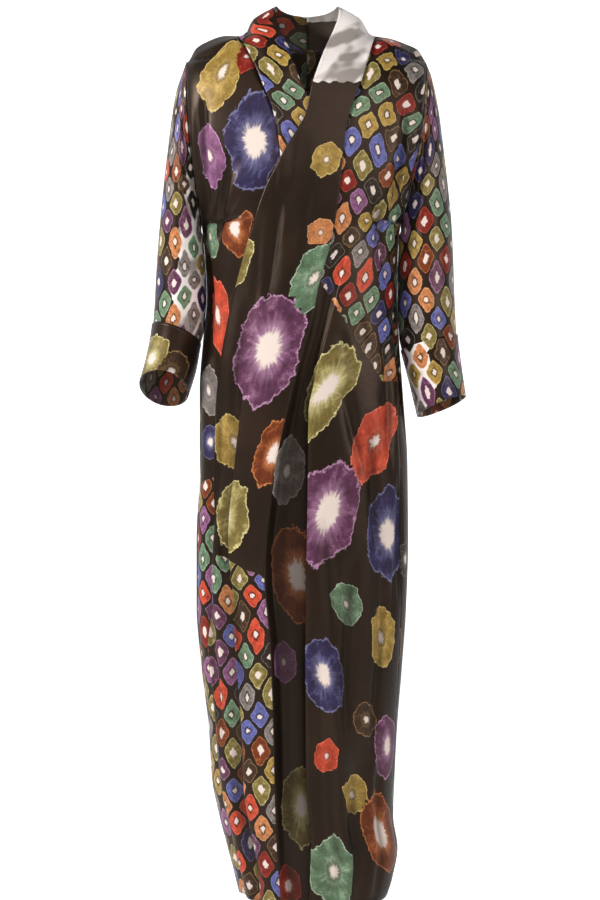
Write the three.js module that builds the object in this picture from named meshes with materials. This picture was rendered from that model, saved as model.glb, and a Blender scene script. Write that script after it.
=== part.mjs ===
// A floor-length wrap kaftan of printed silk, in millimetres, +Z up and its front towards -Y.
// It keeps the hollow form it has when worn. The origin lies between the shoulders, where the wearer carries it.
// The wearer's left front crosses over the right. A wide band edges both fronts and stands around the neck.
import * as THREE from "three";

// Cloth and seams
const WALL = 1.6;
const SEAM_GAP = 0.4;
const SEAM_LAP = 10;
const SIDE_SEAM_TURN = 0.35;
const MOST_TURN = 89.6;

// Heights of the cut
const SHOULDER_Z = -36;
const ARMPIT_Z = -300;
const HEM_Z = -1366;
const BODY_ROWS = 20;

// Shoulder, neck and armhole
const SHOULDER_ROUND = 115;
const NECK_SEAM_X = 107;
const NECK_SEAM_BACK_Z = -12;
const ARMHOLE_HALF_DEPTH = 52;
const COLLAR_CROWN = 9;
const COLLAR_FLARE = 0.6;
const COLLAR_LAID_FROM = 0.45;
const COLLAR_LAID_TO = 0.85;
const NECK_STARTS_Z = -120;
const ARMHOLE_CLEARANCE = 0.3;

// Section of the body: how round its front, back and shoulders are
const SECTION_POWER = 0.9;
const SHOULDER_POWER = 0.6;

// Outline of the body at each height: side limits across, and depth to the front and to the back
const BODY = [
  { z: 60, left: -192, right: 189, front: 82, back: 80 },
  { z: -36, left: -192, right: 189, front: 86, back: 84 },
  { z: -100, left: -190, right: 186, front: 94, back: 93 },
  { z: -170, left: -185, right: 177, front: 104, back: 99 },
  { z: -240, left: -176, right: 162, front: 111, back: 101 },
  { z: -300, left: -168, right: 149, front: 112, back: 100 },
  { z: -350, left: -163, right: 145, front: 111, back: 98 },
  { z: -410, left: -160, right: 144, front: 110, back: 97 },
  { z: -480, left: -166, right: 147, front: 110, back: 101 },
  { z: -560, left: -172, right: 153, front: 111, back: 107 },
  { z: -680, left: -172, right: 161, front: 113, back: 113 },
  { z: -800, left: -177, right: 162, front: 115, back: 114 },
  { z: -900, left: -177, right: 159, front: 116, back: 113 },
  { z: -1000, left: -169, right: 152, front: 116, back: 112 },
  { z: -1100, left: -157, right: 144, front: 115, back: 112 },
  { z: -1180, left: -152, right: 140, front: 114, back: 113 },
  { z: -1240, left: -140, right: 138, front: 113, back: 114 },
  { z: -1290, left: -127, right: 145, front: 112, back: 115 },
  { z: -1340, left: -115, right: 137, front: 111, back: 116 },
  { z: -1400, left: -104, right: 122, front: 110, back: 116 },
];

// Ridge of the shoulders, by distance from the middle
const RIDGE = [
  { x: 0, z: 36 },
  { x: 60, z: 22 },
  { x: NECK_SEAM_X, z: 6 },
  { x: 150, z: -8 },
  { x: 172, z: -18 },
  { x: 192, z: SHOULDER_Z },
];

// Heights shared by the armhole and the band's seam between the armpit and the shoulder
const YOKE_ROWS = [
  { armhole: -285, seam: -267 },
  { armhole: -262, seam: -232 },
  { armhole: -230, seam: -195 },
  { armhole: -195, seam: -155 },
  { armhole: -160, seam: -115 },
  { armhole: -125, seam: -75 },
  { armhole: -92, seam: -40 },
  { armhole: -66, seam: -17 },
  { armhole: -46, seam: -4 },
  { armhole: -36, seam: 6 },
];

// Side seams, as the turn in degrees from the middle of the front
const SIDE_SEAM = [
  { z: 60, left: 90, right: 90 },
  { z: -300, left: 90, right: 90 },
  { z: -420, left: 85, right: 84 },
  { z: -640, left: 79, right: 66 },
  { z: -900, left: 78, right: 69 },
  { z: -1100, left: 79, right: 75 },
  { z: -1400, left: 80, right: 80 },
];

// Left band: its free leading edge, and its outer edge where the left front is sewn on
const LEFT_BAND = [
  { z: 6, lead: 41, seam: 107 },
  { z: -28, lead: 25, seam: 99 },
  { z: -68, lead: 14, seam: 88 },
  { z: -98, lead: 4, seam: 78 },
  { z: -130, lead: -2, seam: 66 },
  { z: -160, lead: -18, seam: 60 },
  { z: -195, lead: -39, seam: 56 },
  { z: -264, lead: -72, seam: 49 },
  { z: -328, lead: -92, seam: 38 },
  { z: -400, lead: -112, seam: 18 },
  { z: -450, lead: -124, seam: 8 },
  { z: -531, lead: -139, seam: -15 },
  { z: -605, lead: -147, seam: -34 },
  { z: -720, lead: -148, seam: -56 },
  { z: -845, lead: -149, seam: -67 },
  { z: -960, lead: -157, seam: -58 },
  { z: -1053, lead: -148, seam: -54 },
  { z: -1180, lead: -136, seam: -51 },
  { z: -1270, lead: -117, seam: -48 },
  { z: -1400, lead: -93, seam: -40 },
];

// Right band: it passes under the left front, and its edges run on to the hem inside
const RIGHT_BAND = [
  { z: 6, lead: -36, seam: -107 },
  { z: -28, lead: -21, seam: -92 },
  { z: -66, lead: -4, seam: -77 },
  { z: -112, lead: 16, seam: -58 },
  { z: -160, lead: 34, seam: -46 },
  { z: -232, lead: 50, seam: -40 },
  { z: -330, lead: 60, seam: -36 },
  { z: -500, lead: 66, seam: -32 },
  { z: -1400, lead: 68, seam: -30 },
];

// The band around the neck: free edge and sewn edge, from the centre back over the shoulder to the front.
// body is how far the band has come to lie on the chest.
const NECK_STATIONS = [
  { leadX: 0, leadY: 60, leadZ: 47, seamX: 0, back: 1, body: 0 },
  { leadX: 26, leadY: 55, leadZ: 50, seamX: 32, back: 1, body: 0 },
  { leadX: 42, leadY: 38, leadZ: 54, seamX: 62, back: 1, body: 0 },
  { leadX: 49, leadY: 18, leadZ: 57, seamX: 88, back: 1, body: 0 },
  { leadX: 51, leadY: -4, leadZ: 49, seamX: NECK_SEAM_X, back: 0, seamZ: 6, body: 0 },
  { leadX: 49, leadY: -22, leadZ: 32, back: 0, seamZ: -4, body: 0 },
  { leadX: 43, leadY: -36, leadZ: 12, back: 0, seamZ: -17, body: 0 },
  { leadX: 33, leadY: -52, leadZ: -12, back: 0, seamZ: -40, body: 0.4 },
  { leadX: 21, leadY: -68, leadZ: -44, back: 0, seamZ: -75, body: 0.85 },
  { leadX: 8, leadY: -84, leadZ: -84, back: 0, seamZ: -115, body: 1 },
];

// Large folds: the recessed strip beside the left band, the lap that hangs over it, and the lap inside the band.
// x is the front edge of the lap, depth how far the cloth behind it lies in, lap how far it runs under.
const STRIP_FOLD = [
  { z: 6, x: 128, depth: 0, lap: 0 },
  { z: -106, x: 106, depth: 0, lap: 0 },
  { z: -195, x: 88, depth: 0, lap: 0 },
  { z: -286, x: 76, depth: 0, lap: 0 },
  { z: -352, x: 62, depth: 2, lap: 0 },
  { z: -450, x: 38, depth: 7, lap: 0 },
  { z: -540, x: 14, depth: 12, lap: 1 },
  { z: -600, x: 3, depth: 16, lap: 8 },
  { z: -704, x: 2, depth: 18, lap: 11 },
  { z: -985, x: -2, depth: 19, lap: 12 },
  { z: -1174, x: -1, depth: 18, lap: 11 },
  { z: -1260, x: 7, depth: 15, lap: 8 },
  { z: -1400, x: 3, depth: 12, lap: 5 },
];
const BAND_FOLD = [
  { z: 6, share: 0.38, depth: 0, lap: 0 },
  { z: -500, share: 0.38, depth: 1, lap: 0 },
  { z: -576, share: 0.37, depth: 6, lap: 0.5 },
  { z: -660, share: 0.36, depth: 12, lap: 7 },
  { z: -787, share: 0.3, depth: 13, lap: 9 },
  { z: -900, share: 0.42, depth: 13, lap: 9 },
  { z: -1075, share: 0.46, depth: 11, lap: 8 },
  { z: -1216, share: 0.42, depth: 11, lap: 7 },
  { z: -1400, share: 0.42, depth: 9.5, lap: 5 },
];

// How deep the right front and its band lie below the left ones, away from the leading edge
const UNDERLAP = [
  { z: 6, depth: 6 },
  { z: -330, depth: 7 },
  { z: -450, depth: 14 },
  { z: -560, depth: 22 },
  { z: -640, depth: 27 },
  { z: -1400, depth: 27 },
];
const UNDERLAP_EDGE = 3.6;
const UNDERLAP_RUN = 38;
const UNDERLAP_LEAD = 20;
const SIDE_CLEAR_FROM = 4;
const SIDE_CLEAR_TO = 13;

// How far a strip that is sewn on lies behind its band: more over the rounding of the shoulder
const SEWN_CLEARANCE = 0.3;
const SEWN_SHOULDER_DEPTH = 3.5;
const SEWN_SHOULDER_FROM_Z = -150;
const SEWN_SHOULDER_TO_Z = -80;
const RAMP_CLEARANCE = 0.6;

// Section of a lap, from the recess behind it to past its front edge: across as shares of the lap's run, of the tip's
// run where the fold is loose and where it is laid over, in as a share of the depth
const TIP_RUN = 5;
const LAID_OVER_RUN = 6;
const LAP_SECTION = [
  { lap: 1, loose: -1.6, laid: 0, tip: 0, depth: 1 },
  { lap: 0.98, loose: -0.8, laid: 0.3, tip: 0, depth: 0.62 },
  { lap: 0.3, loose: -0.2, laid: 0, tip: 0, depth: 0.36 },
  { lap: 0, loose: 0, laid: -0.24, tip: 0, depth: 0.1 },
  { lap: 0, loose: 0, laid: 0, tip: 0.8, depth: 0 },
];

// The recessed strip: where it leaves the seam and where it is down, and how it comes to the lap
const STRIP_SECTION = { leaves: 5, leavesDepth: 0.6, down: 12, lapStart: 8, middleDepth: 0.92 };

// The left band between its leading edge and its fold: across as a share, in as a share of the fold's depth
const BAND_SLOPE = [
  { share: 0.28, depth: 0.05 },
  { share: 0.55, depth: 0.7 },
];

// Soft folds, by turn in degrees from the middle of the front (back folds lie near 180): depth in, minus is a ridge
const SOFT_FOLDS = [
  { turnTop: 42, turnFoot: 52, top: -680, foot: -1010, width: 5.5, depth: 7 },
  { turnTop: 20, turnFoot: 24, top: -980, foot: -1366, width: 6, depth: -7 },
  { turnTop: 10, turnFoot: 11, top: -900, foot: -1366, width: 4, depth: 5 },
  { turnTop: 38, turnFoot: 36, top: -1080, foot: -1366, width: 6, depth: 8 },
  { turnTop: 27, turnFoot: 45, top: -420, foot: -560, width: 5, depth: 4 },
  { turnTop: 55, turnFoot: 66, top: -130, foot: -330, width: 6, depth: 6 },
  { turnTop: 1, turnFoot: -7, top: -150, foot: -380, width: 4, depth: 4 },
  { turnTop: -50, turnFoot: -66, top: -150, foot: -350, width: 6, depth: 8 },
  { turnTop: -60, turnFoot: -62, top: -420, foot: -700, width: 5, depth: 5 },
  { turnTop: 98, turnFoot: 102, top: -520, foot: -1366, width: 7, depth: 8 },
  { turnTop: 124, turnFoot: 122, top: -180, foot: -1366, width: 8, depth: 11 },
  { turnTop: 143, turnFoot: 146, top: -560, foot: -1366, width: 6, depth: -8 },
  { turnTop: 158, turnFoot: 163, top: -260, foot: -1366, width: 7, depth: 12 },
  { turnTop: 180, turnFoot: 181, top: -700, foot: -1366, width: 8, depth: -8 },
  { turnTop: 202, turnFoot: 197, top: -220, foot: -1366, width: 7, depth: 11 },
  { turnTop: 219, turnFoot: 217, top: -620, foot: -1366, width: 6, depth: -8 },
  { turnTop: 237, turnFoot: 240, top: -190, foot: -1366, width: 8, depth: 11 },
  { turnTop: 262, turnFoot: 258, top: -480, foot: -1366, width: 7, depth: 9 },
];
const FOLD_STARTS_OVER = 110;
const FOLD_ENDS_OVER = 90;

// Sleeves: the outer and inner limits of each ring across and in height, its half depth, how far its middle bows
// outwards, and how much higher its front lies than its back
const LEFT_SLEEVE = [
  { outX: 197, outZ: -54, inX: 150, inZ: -303, half: 54, bow: 8, tilt: 0 },
  { outX: 204, outZ: -80, inX: 150, inZ: -308, half: 57, bow: 6, tilt: 0 },
  { outX: 211, outZ: -118, inX: 150, inZ: -315, half: 60, bow: 4, tilt: 0 },
  { outX: 218, outZ: -172, inX: 150, inZ: -326, half: 63, bow: 3, tilt: 0 },
  { outX: 225, outZ: -232, inX: 150, inZ: -343, half: 66, bow: 2, tilt: 0 },
  { outX: 231, outZ: -294, inX: 149, inZ: -368, half: 68, bow: 0, tilt: 0 },
  { outX: 234, outZ: -358, inX: 149, inZ: -404, half: 69, bow: 0, tilt: 1 },
  { outX: 236, outZ: -418, inX: 151, inZ: -450, half: 70, bow: 0, tilt: 2 },
  { outX: 239, outZ: -472, inX: 157, inZ: -497, half: 71, bow: 0, tilt: 3 },
  { outX: 245, outZ: -522, inX: 166, inZ: -550, half: 71, bow: 0, tilt: 5 },
  { outX: 252, outZ: -571, inX: 178, inZ: -601, half: 71, bow: 0, tilt: 8 },
];
const RIGHT_SLEEVE = [
  { outX: -199, outZ: -54, inX: -169, inZ: -303, half: 54, bow: 8, tilt: 0 },
  { outX: -208, outZ: -80, inX: -169, inZ: -308, half: 57, bow: 6, tilt: 0 },
  { outX: -215, outZ: -118, inX: -169, inZ: -315, half: 60, bow: 4, tilt: 0 },
  { outX: -222, outZ: -172, inX: -169, inZ: -326, half: 63, bow: 3, tilt: 0 },
  { outX: -229, outZ: -232, inX: -168, inZ: -343, half: 66, bow: 2, tilt: 0 },
  { outX: -235, outZ: -294, inX: -167, inZ: -368, half: 68, bow: 0, tilt: 2 },
  { outX: -240, outZ: -358, inX: -166, inZ: -404, half: 69, bow: 0, tilt: 5 },
  { outX: -243, outZ: -412, inX: -166, inZ: -446, half: 70, bow: 0, tilt: 9 },
  { outX: -246, outZ: -458, inX: -172, inZ: -488, half: 71, bow: 0, tilt: 13 },
  { outX: -254, outZ: -506, inX: -179, inZ: -526, half: 71, bow: 0, tilt: 20 },
  { outX: -266, outZ: -553, inX: -191, inZ: -562, half: 71, bow: 0, tilt: 27 },
];
const CUFF_RINGS = 3;

// ---- Reading the tables ----

// Smooth curve through one column of a table, without overshoot, sorted by its key
function column(table, key, name) {
  const rows = [...table].sort((a, b) => a[key] - b[key]);
  const at = rows.map((row) => row[key]);
  const value = rows.map((row) => row[name]);
  const last = rows.length - 1;
  const secant = (i) => (value[i + 1] - value[i]) / (at[i + 1] - at[i]);
  const slope = value.map((_, i) => {
    if (i === 0 || i === last) return 0;
    const before = secant(i - 1);
    const after = secant(i);
    return before * after <= 0 ? 0 : (2 * before * after) / (before + after);
  });
  return (position) => {
    if (position <= at[0]) return value[0];
    if (position >= at[last]) return value[last];
    let i = 0;
    while (position > at[i + 1]) i += 1;
    const span = at[i + 1] - at[i];
    const t = (position - at[i]) / span;
    const straight = value[i] * (1 - t) + value[i + 1] * t;
    const bend = slope[i] * (1 - t) - slope[i + 1] * t - secant(i) * (1 - 2 * t);
    return straight + t * (1 - t) * span * bend;
  };
}

function ease(from, to, value) {
  const t = Math.min(1, Math.max(0, (value - from) / (to - from)));
  return t * t * (3 - 2 * t);
}

function mix(a, b, t) {
  return a + (b - a) * t;
}

const body = {};
for (const name of ["left", "right", "front", "back"]) body[name] = column(BODY, "z", name);
const ridge = column(RIDGE, "x", "z");
const sideLeft = column(SIDE_SEAM, "z", "left");
const sideRight = column(SIDE_SEAM, "z", "right");
const leftLead = column(LEFT_BAND, "z", "lead");
const leftSeam = column(LEFT_BAND, "z", "seam");
const rightLead = column(RIGHT_BAND, "z", "lead");
const rightSeam = column(RIGHT_BAND, "z", "seam");
const stripFold = { x: column(STRIP_FOLD, "z", "x"), depth: column(STRIP_FOLD, "z", "depth") };
stripFold.lap = column(STRIP_FOLD, "z", "lap");
const bandFold = { share: column(BAND_FOLD, "z", "share"), depth: column(BAND_FOLD, "z", "depth") };
bandFold.lap = column(BAND_FOLD, "z", "lap");
const underlap = column(UNDERLAP, "z", "depth");

// ---- The form that the cloth follows ----

const DEGREE = Math.PI / 180;

function middle(z) {
  return (body.left(z) + body.right(z)) / 2;
}

function halfWidth(z) {
  return (body.right(z) - body.left(z)) / 2;
}

function armholeHalf(z) {
  const centre = (SHOULDER_Z + ARMPIT_Z) / 2;
  const reach = (SHOULDER_Z - ARMPIT_Z) / 2;
  const t = (z - centre) / reach;
  return Math.abs(t) >= 1 ? 0 : ARMHOLE_HALF_DEPTH * Math.sqrt(1 - t * t);
}

function softFold(turn, z) {
  let depth = 0;
  for (const fold of SOFT_FOLDS) {
    const along = (z - fold.top) / (fold.foot - fold.top);
    const centre = mix(fold.turnTop, fold.turnFoot, along);
    const away = ((turn - centre + 540) % 360) - 180;
    const start = ease(fold.top, fold.top - FOLD_STARTS_OVER, z);
    const end = fold.foot <= HEM_Z ? 1 : 1 - ease(fold.foot + FOLD_ENDS_OVER, fold.foot, z);
    depth += fold.depth * start * end * Math.exp(-((away / fold.width) ** 2));
  }
  return depth;
}

// Point of the form at a turn in degrees (0 front, 90 wearer's left, 180 back), lifted outwards by lift
function formPoint(turn, z, lift) {
  const s = Math.sin(turn * DEGREE);
  const c = Math.cos(turn * DEGREE);
  const half = halfWidth(z);
  const x = middle(z) + half * s;
  const deep = c >= 0 ? body.front(z) : body.back(z);
  const drop = Math.min(1, Math.max(0, (ridge(Math.abs(x)) - z) / SHOULDER_ROUND));
  const round = Math.pow(1 - (1 - drop) ** 2, SHOULDER_POWER);
  const arm = armholeHalf(z);
  const y = -Math.sign(c) * (arm + round * (deep - arm) * Math.pow(Math.abs(c), SECTION_POWER));
  const top = Math.max(0, z - ridge(Math.abs(x)) + SHOULDER_ROUND);
  const out = new THREE.Vector3(s / half, y / deep / deep, top / SHOULDER_ROUND / SHOULDER_ROUND).normalize();
  return new THREE.Vector3(x, y, z).addScaledVector(out, lift - softFold(turn, z));
}

// The turn on the front half where the form lies at x
function turnAt(x, z) {
  const s = (x - middle(z)) / halfWidth(z);
  return Math.asin(Math.min(0.9999, Math.max(-0.9999, s))) / DEGREE;
}

function frontPoint(x, z, lift) {
  return formPoint(turnAt(x, z), z, lift);
}

// The same, but never above the ridge of the shoulder
function ridgePoint(x, z, lift) {
  return frontPoint(x, Math.min(z, ridge(Math.abs(x))), lift);
}

// Rows from the hem up to the armpit, then fanning out between the band's seam and the armhole
const rows = [];
for (let i = 0; i <= BODY_ROWS; i += 1) {
  const z = mix(HEM_Z, ARMPIT_Z, i / BODY_ROWS);
  rows.push({ armhole: z, seam: z });
}
rows.push(...YOKE_ROWS);

// ---- Walls from grids of points ----

// Closed solid from a grid of outer points: the inner face lies one wall inside it. A ring closes along its columns.
// square names the axis, if any, that an edge point's wall has to be square to, so that seams stay parallel. It is
// given the point, its row and column, and the last row.
function wall(grid, thickness, ring, square) {
  const nRows = grid.length;
  const nCols = grid[0].length;
  const spanCols = ring ? nCols : nCols - 1;
  const normals = grid.map((row) => row.map(() => new THREE.Vector3()));
  const edgeA = new THREE.Vector3();
  const edgeB = new THREE.Vector3();
  for (let i = 0; i < nRows - 1; i += 1) {
    for (let j = 0; j < spanCols; j += 1) {
      const k = (j + 1) % nCols;
      edgeA.subVectors(grid[i + 1][k], grid[i][j]);
      edgeB.subVectors(grid[i + 1][j], grid[i][k]);
      const normal = new THREE.Vector3().crossVectors(edgeA, edgeB).normalize();
      for (const corner of [normals[i][j], normals[i][k], normals[i + 1][j], normals[i + 1][k]]) corner.add(normal);
    }
  }
  const inner = grid.map((row, i) =>
    row.map((point, j) => {
      const axis = square(point, i, j, nRows - 1);
      if (axis) normals[i][j][axis] = 0;
      return point.clone().addScaledVector(normals[i][j].normalize(), -thickness);
    })
  );
  const points = [...grid.flat(), ...inner.flat()];
  const offset = nRows * nCols;
  const index = (i, j, face) => face * offset + i * nCols + (j % nCols);
  const triangles = [];
  const quad = (a, b, c, d) => triangles.push(a, c, b, a, d, c);
  for (let i = 0; i < nRows - 1; i += 1) {
    for (let j = 0; j < spanCols; j += 1) {
      quad(index(i, j, 0), index(i + 1, j, 0), index(i + 1, j + 1, 0), index(i, j + 1, 0));
      quad(index(i, j, 1), index(i, j + 1, 1), index(i + 1, j + 1, 1), index(i + 1, j, 1));
    }
  }
  for (let j = 0; j < spanCols; j += 1) {
    quad(index(0, j, 1), index(0, j, 0), index(0, j + 1, 0), index(0, j + 1, 1));
    quad(index(nRows - 1, j, 0), index(nRows - 1, j, 1), index(nRows - 1, j + 1, 1), index(nRows - 1, j + 1, 0));
  }
  for (let i = 0; i < nRows - 1 && !ring; i += 1) {
    quad(index(i, 0, 0), index(i, 0, 1), index(i + 1, 0, 1), index(i + 1, 0, 0));
    const j = nCols - 1;
    quad(index(i + 1, j, 0), index(i + 1, j, 1), index(i, j, 1), index(i, j, 0));
  }
  const geometry = new THREE.BufferGeometry();
  geometry.setAttribute("position", new THREE.Float32BufferAttribute(points.flatMap((p) => [p.x, p.y, p.z]), 3));
  geometry.setIndex(triangles);
  geometry.computeVertexNormals();
  return geometry;
}

// ---- Fronts ----

const LEFT_FRONT_COLUMNS = 11;
const RIGHT_FRONT_COLUMNS = 9;
const BAND_COLUMNS = 4;

// Across a lap at x
function lapColumns(x, depth, lap) {
  const loose = Math.max(0, 1 - lap / LAID_OVER_RUN);
  return LAP_SECTION.map((step) => {
    const tip = TIP_RUN * (step.loose * loose + step.laid * (1 - loose) + step.tip);
    return { x: x + lap * step.lap + tip, lift: -depth * step.depth };
  });
}

// Left front, from under the band's outer edge, down into the strip, over the lap and round to the side seam
function leftFrontRow(row, isTop) {
  const z = row.seam;
  const seam = leftSeam(z);
  const under = -sewnDepth(z);
  const depth = stripFold.depth(z);
  const fold = stripFold.x(z);
  const { leaves, leavesDepth, down, lapStart, middleDepth } = STRIP_SECTION;
  const path = [
    { x: seam - SEAM_LAP, lift: under },
    { x: seam, lift: under },
    { x: seam + leaves, lift: mix(under, -depth, leavesDepth) },
    { x: seam + down, lift: -depth },
    { x: mix(seam + down, fold - lapStart, 0.5), lift: -depth * middleDepth },
    ...lapColumns(fold, depth, stripFold.lap(z)),
  ];
  const last = path[path.length - 1];
  const firstTurn = turnAt(last.x, z);
  const sideTurn = Math.min(sideRight(row.armhole), MOST_TURN);
  const armX = formPoint(sideTurn, row.armhole, 0).x;
  const points = path.map((step) => rowPoint(step.x, step.lift, row, seam, armX, isTop));
  for (let j = 1; j <= LEFT_FRONT_COLUMNS; j += 1) {
    const share = j / LEFT_FRONT_COLUMNS;
    const turn = mix(firstTurn, sideTurn, share);
    if (row.armhole <= ARMPIT_Z) points.push(formPoint(turn, z, 0));
    else points.push(rowPoint(mix(last.x, armX, share), 0, row, seam, armX, isTop));
  }
  return points;
}

// A point of a yoke row, whose height changes between the seam and the armhole
function rowPoint(x, lift, row, seamX, armX, isTop) {
  const share = Math.min(1, Math.max(0, (x - seamX) / (armX - seamX)));
  const level = mix(row.seam, row.armhole, share);
  const z = isTop ? ridge(Math.abs(x)) : level;
  return frontPoint(x, z, lift);
}

function leftFront() {
  return rows.map((row, i) => {
    const isTop = i === rows.length - 1;
    const points = leftFrontRow(row, isTop);
    return isTop ? points.map(offShoulderLine) : points;
  });
}

// Half a seam's gap forward of the shoulder line
function offShoulderLine(point) {
  point.y -= SEAM_GAP / 2;
  return point;
}

function sewnDepth(z) {
  const overShoulder = ease(SEWN_SHOULDER_FROM_Z, SEWN_SHOULDER_TO_Z, z);
  return WALL + SEAM_GAP + SEWN_CLEARANCE + SEWN_SHOULDER_DEPTH * overShoulder;
}

// How deep the right front lies at x: level at its side seam, just under the leading edge, deeper further in
function depthUnder(x, z, leadX) {
  const away = x - leadX;
  const clearOfSeam = ease(SIDE_CLEAR_FROM, SIDE_CLEAR_TO, turnAt(x, z) + sideLeft(z));
  if (away < 0) return UNDERLAP_EDGE * ease(-UNDERLAP_LEAD, 0, away) * clearOfSeam;
  return mix(UNDERLAP_EDGE, underlap(z), ease(0, UNDERLAP_RUN, away));
}

// Right front, from the side seam to under its band
function rightFront() {
  return rows.map((row, i) => {
    const isTop = i === rows.length - 1;
    const z = row.seam;
    const seam = rightSeam(z);
    const sideTurn = -Math.min(sideLeft(row.armhole), MOST_TURN);
    const armX = formPoint(sideTurn, row.armhole, 0).x;
    const firstX = seam - TIP_RUN;
    const points = [];
    for (let j = 0; j < RIGHT_FRONT_COLUMNS; j += 1) {
      const share = j / (RIGHT_FRONT_COLUMNS - 1);
      const turn = mix(sideTurn, turnAt(firstX, z), share);
      if (row.armhole <= ARMPIT_Z) {
        const x = middle(z) + halfWidth(z) * Math.sin(turn * DEGREE);
        points.push(formPoint(turn, z, -depthUnder(x, z, leftLead(z))));
        continue;
      }
      const x = mix(armX, firstX, share);
      points.push(rowPoint(x, -depthUnder(x, z, leftLead(z)), row, seam, armX, isTop));
    }
    for (const x of [seam, seam + SEAM_LAP]) {
      const lift = -depthUnder(x, z, leftLead(z)) - sewnDepth(z) - RAMP_CLEARANCE;
      points.push(rowPoint(x, lift, row, seam, armX, isTop));
    }
    return isTop ? points.map(offShoulderLine) : points;
  });
}

// ---- Bands ----

// A row of the left band on the body, from the leading edge to the seam
function leftBandPath(z) {
  const lead = leftLead(z);
  const seam = leftSeam(z);
  const fold = mix(lead, seam, bandFold.share(z));
  const depth = bandFold.depth(z);
  const lap = lapColumns(fold, depth, bandFold.lap(z));
  return [
    { x: lead, lift: 0 },
    ...BAND_SLOPE.map((step) => ({ x: mix(lead, fold, step.share), lift: -depth * step.depth })),
    ...lap,
    { x: mix(lap[lap.length - 1].x, seam - SEAM_LAP, 0.5), lift: 0 },
    { x: seam - SEAM_LAP, lift: 0 },
    { x: seam, lift: 0 },
  ];
}

function rightBandPath(z) {
  const lead = rightLead(z);
  const seam = rightSeam(z);
  const steps = [];
  for (let j = 0; j <= BAND_COLUMNS; j += 1) steps.push(mix(lead, seam + SEAM_LAP, j / BAND_COLUMNS));
  steps.push(seam);
  return steps.map((x) => ({ x, lift: -depthUnder(x, z, leftLead(z)) }));
}

// The sewn edge of the collar behind the neck
function neckSeamZ(x) {
  return mix(NECK_SEAM_BACK_Z, ridge(NECK_SEAM_X), (Math.abs(x) / NECK_SEAM_X) ** 2);
}

// Rows of a band from the hem up to the neck, then around it to the centre back
function band(side, path, seamAt) {
  const onBody = rows.filter((row) => row.seam < NECK_STARTS_Z).map((row) => {
    return path(row.seam).map((step) => frontPoint(step.x, row.seam, step.lift));
  });
  const neck = [...NECK_STATIONS].reverse().map((station) => {
    const seamX = station.back ? side * station.seamX : seamAt(station.seamZ);
    const seamZ = station.back ? neckSeamZ(seamX) : station.seamZ;
    const steps = path(seamZ);
    const first = steps[0].x;
    const whole = steps[steps.length - 1].x - first;
    const sewn = station.back ? backPoint(seamX, seamZ + SEAM_GAP, 0) : ridgePoint(seamX, seamZ, 0);
    const free = new THREE.Vector3(side * station.leadX, station.leadY, station.leadZ);
    if (station.seamX === 0) {
      sewn.x = side * SEAM_GAP / 2;
      free.x = side * SEAM_GAP / 2;
    }
    return steps.map((step) => {
      const share = (step.x - first) / whole;
      const flat = free.clone().lerp(sewn, share);
      const out = new THREE.Vector3(flat.x, flat.y, 0).normalize().setZ(COLLAR_FLARE).normalize();
      flat.addScaledVector(out, COLLAR_CROWN * 4 * share * (1 - share) * (1 - station.body));
      const laid = ridgePoint(flat.x, flat.z, step.lift);
      return flat.lerp(laid, station.back ? 0 : Math.max(station.body, ease(COLLAR_LAID_FROM, COLLAR_LAID_TO, share)));
    });
  });
  return [...onBody, ...neck];
}

// ---- Back ----

const BACK_COLUMNS = 26;
const NECK_COLUMNS = [107, 88, 62, 32, 0, -32, -62, -88, -107];

function backPoint(x, z, lift) {
  return formPoint(180 - turnAt(x, z), z, lift);
}

// Whole back, from the wearer's left side seam round to the right one. Its top follows the shoulders and the neck.
function back() {
  return rows.map((row, i) => {
    const z = row.armhole;
    const level = Math.max(0, (z - ARMPIT_Z) / (SHOULDER_Z - ARMPIT_Z));
    const left = Math.min(sideRight(z), MOST_TURN) + SIDE_SEAM_TURN;
    const right = 360 - Math.min(sideLeft(z), MOST_TURN) - SIDE_SEAM_TURN;
    const turnStart = level > 0 ? 180 - left : left;
    const turnEnd = level > 0 ? 540 - right : right;
    const points = [];
    for (let j = 0; j <= BACK_COLUMNS; j += 1) {
      const turn = mix(turnStart, turnEnd, j / BACK_COLUMNS);
      if (level === 0) {
        points.push(formPoint(turn, z, 0));
        continue;
      }
      const topShare = (topColumnX(j) - middle(SHOULDER_Z)) / halfWidth(SHOULDER_Z);
      const x = middle(z) + halfWidth(z) * mix(Math.sin(turn * DEGREE), topShare, level);
      const topZ = Math.abs(x) < NECK_SEAM_X ? neckSeamZ(x) : ridge(Math.abs(x));
      const height = i === rows.length - 1 ? topZ : ARMPIT_Z + (topZ - ARMPIT_Z) * level;
      const point = backPoint(x, height, 0);
      point.y += SEAM_GAP / 2;
      points.push(point);
    }
    return points;
  });
}

// Half of the back, to one side of the seam down its middle
function backHalf(side) {
  return back().map((row) => {
    const half = side > 0 ? row.slice(0, BACK_COLUMNS / 2 + 1) : row.slice(BACK_COLUMNS / 2);
    half[side > 0 ? half.length - 1 : 0].x += (side * SEAM_GAP) / 2;
    return half;
  });
}

// Where the columns of the back reach its top edge
function topColumnX(j) {
  const shoulder = Math.round((BACK_COLUMNS - NECK_COLUMNS.length + 1) / 2);
  const width = body.right(SHOULDER_Z);
  if (j <= shoulder) return mix(width, NECK_SEAM_X, j / shoulder);
  if (j >= BACK_COLUMNS - shoulder) return -mix(width, NECK_SEAM_X, (BACK_COLUMNS - j) / shoulder);
  return NECK_COLUMNS[j - shoulder];
}

// ---- Sleeves and cuffs ----

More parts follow.
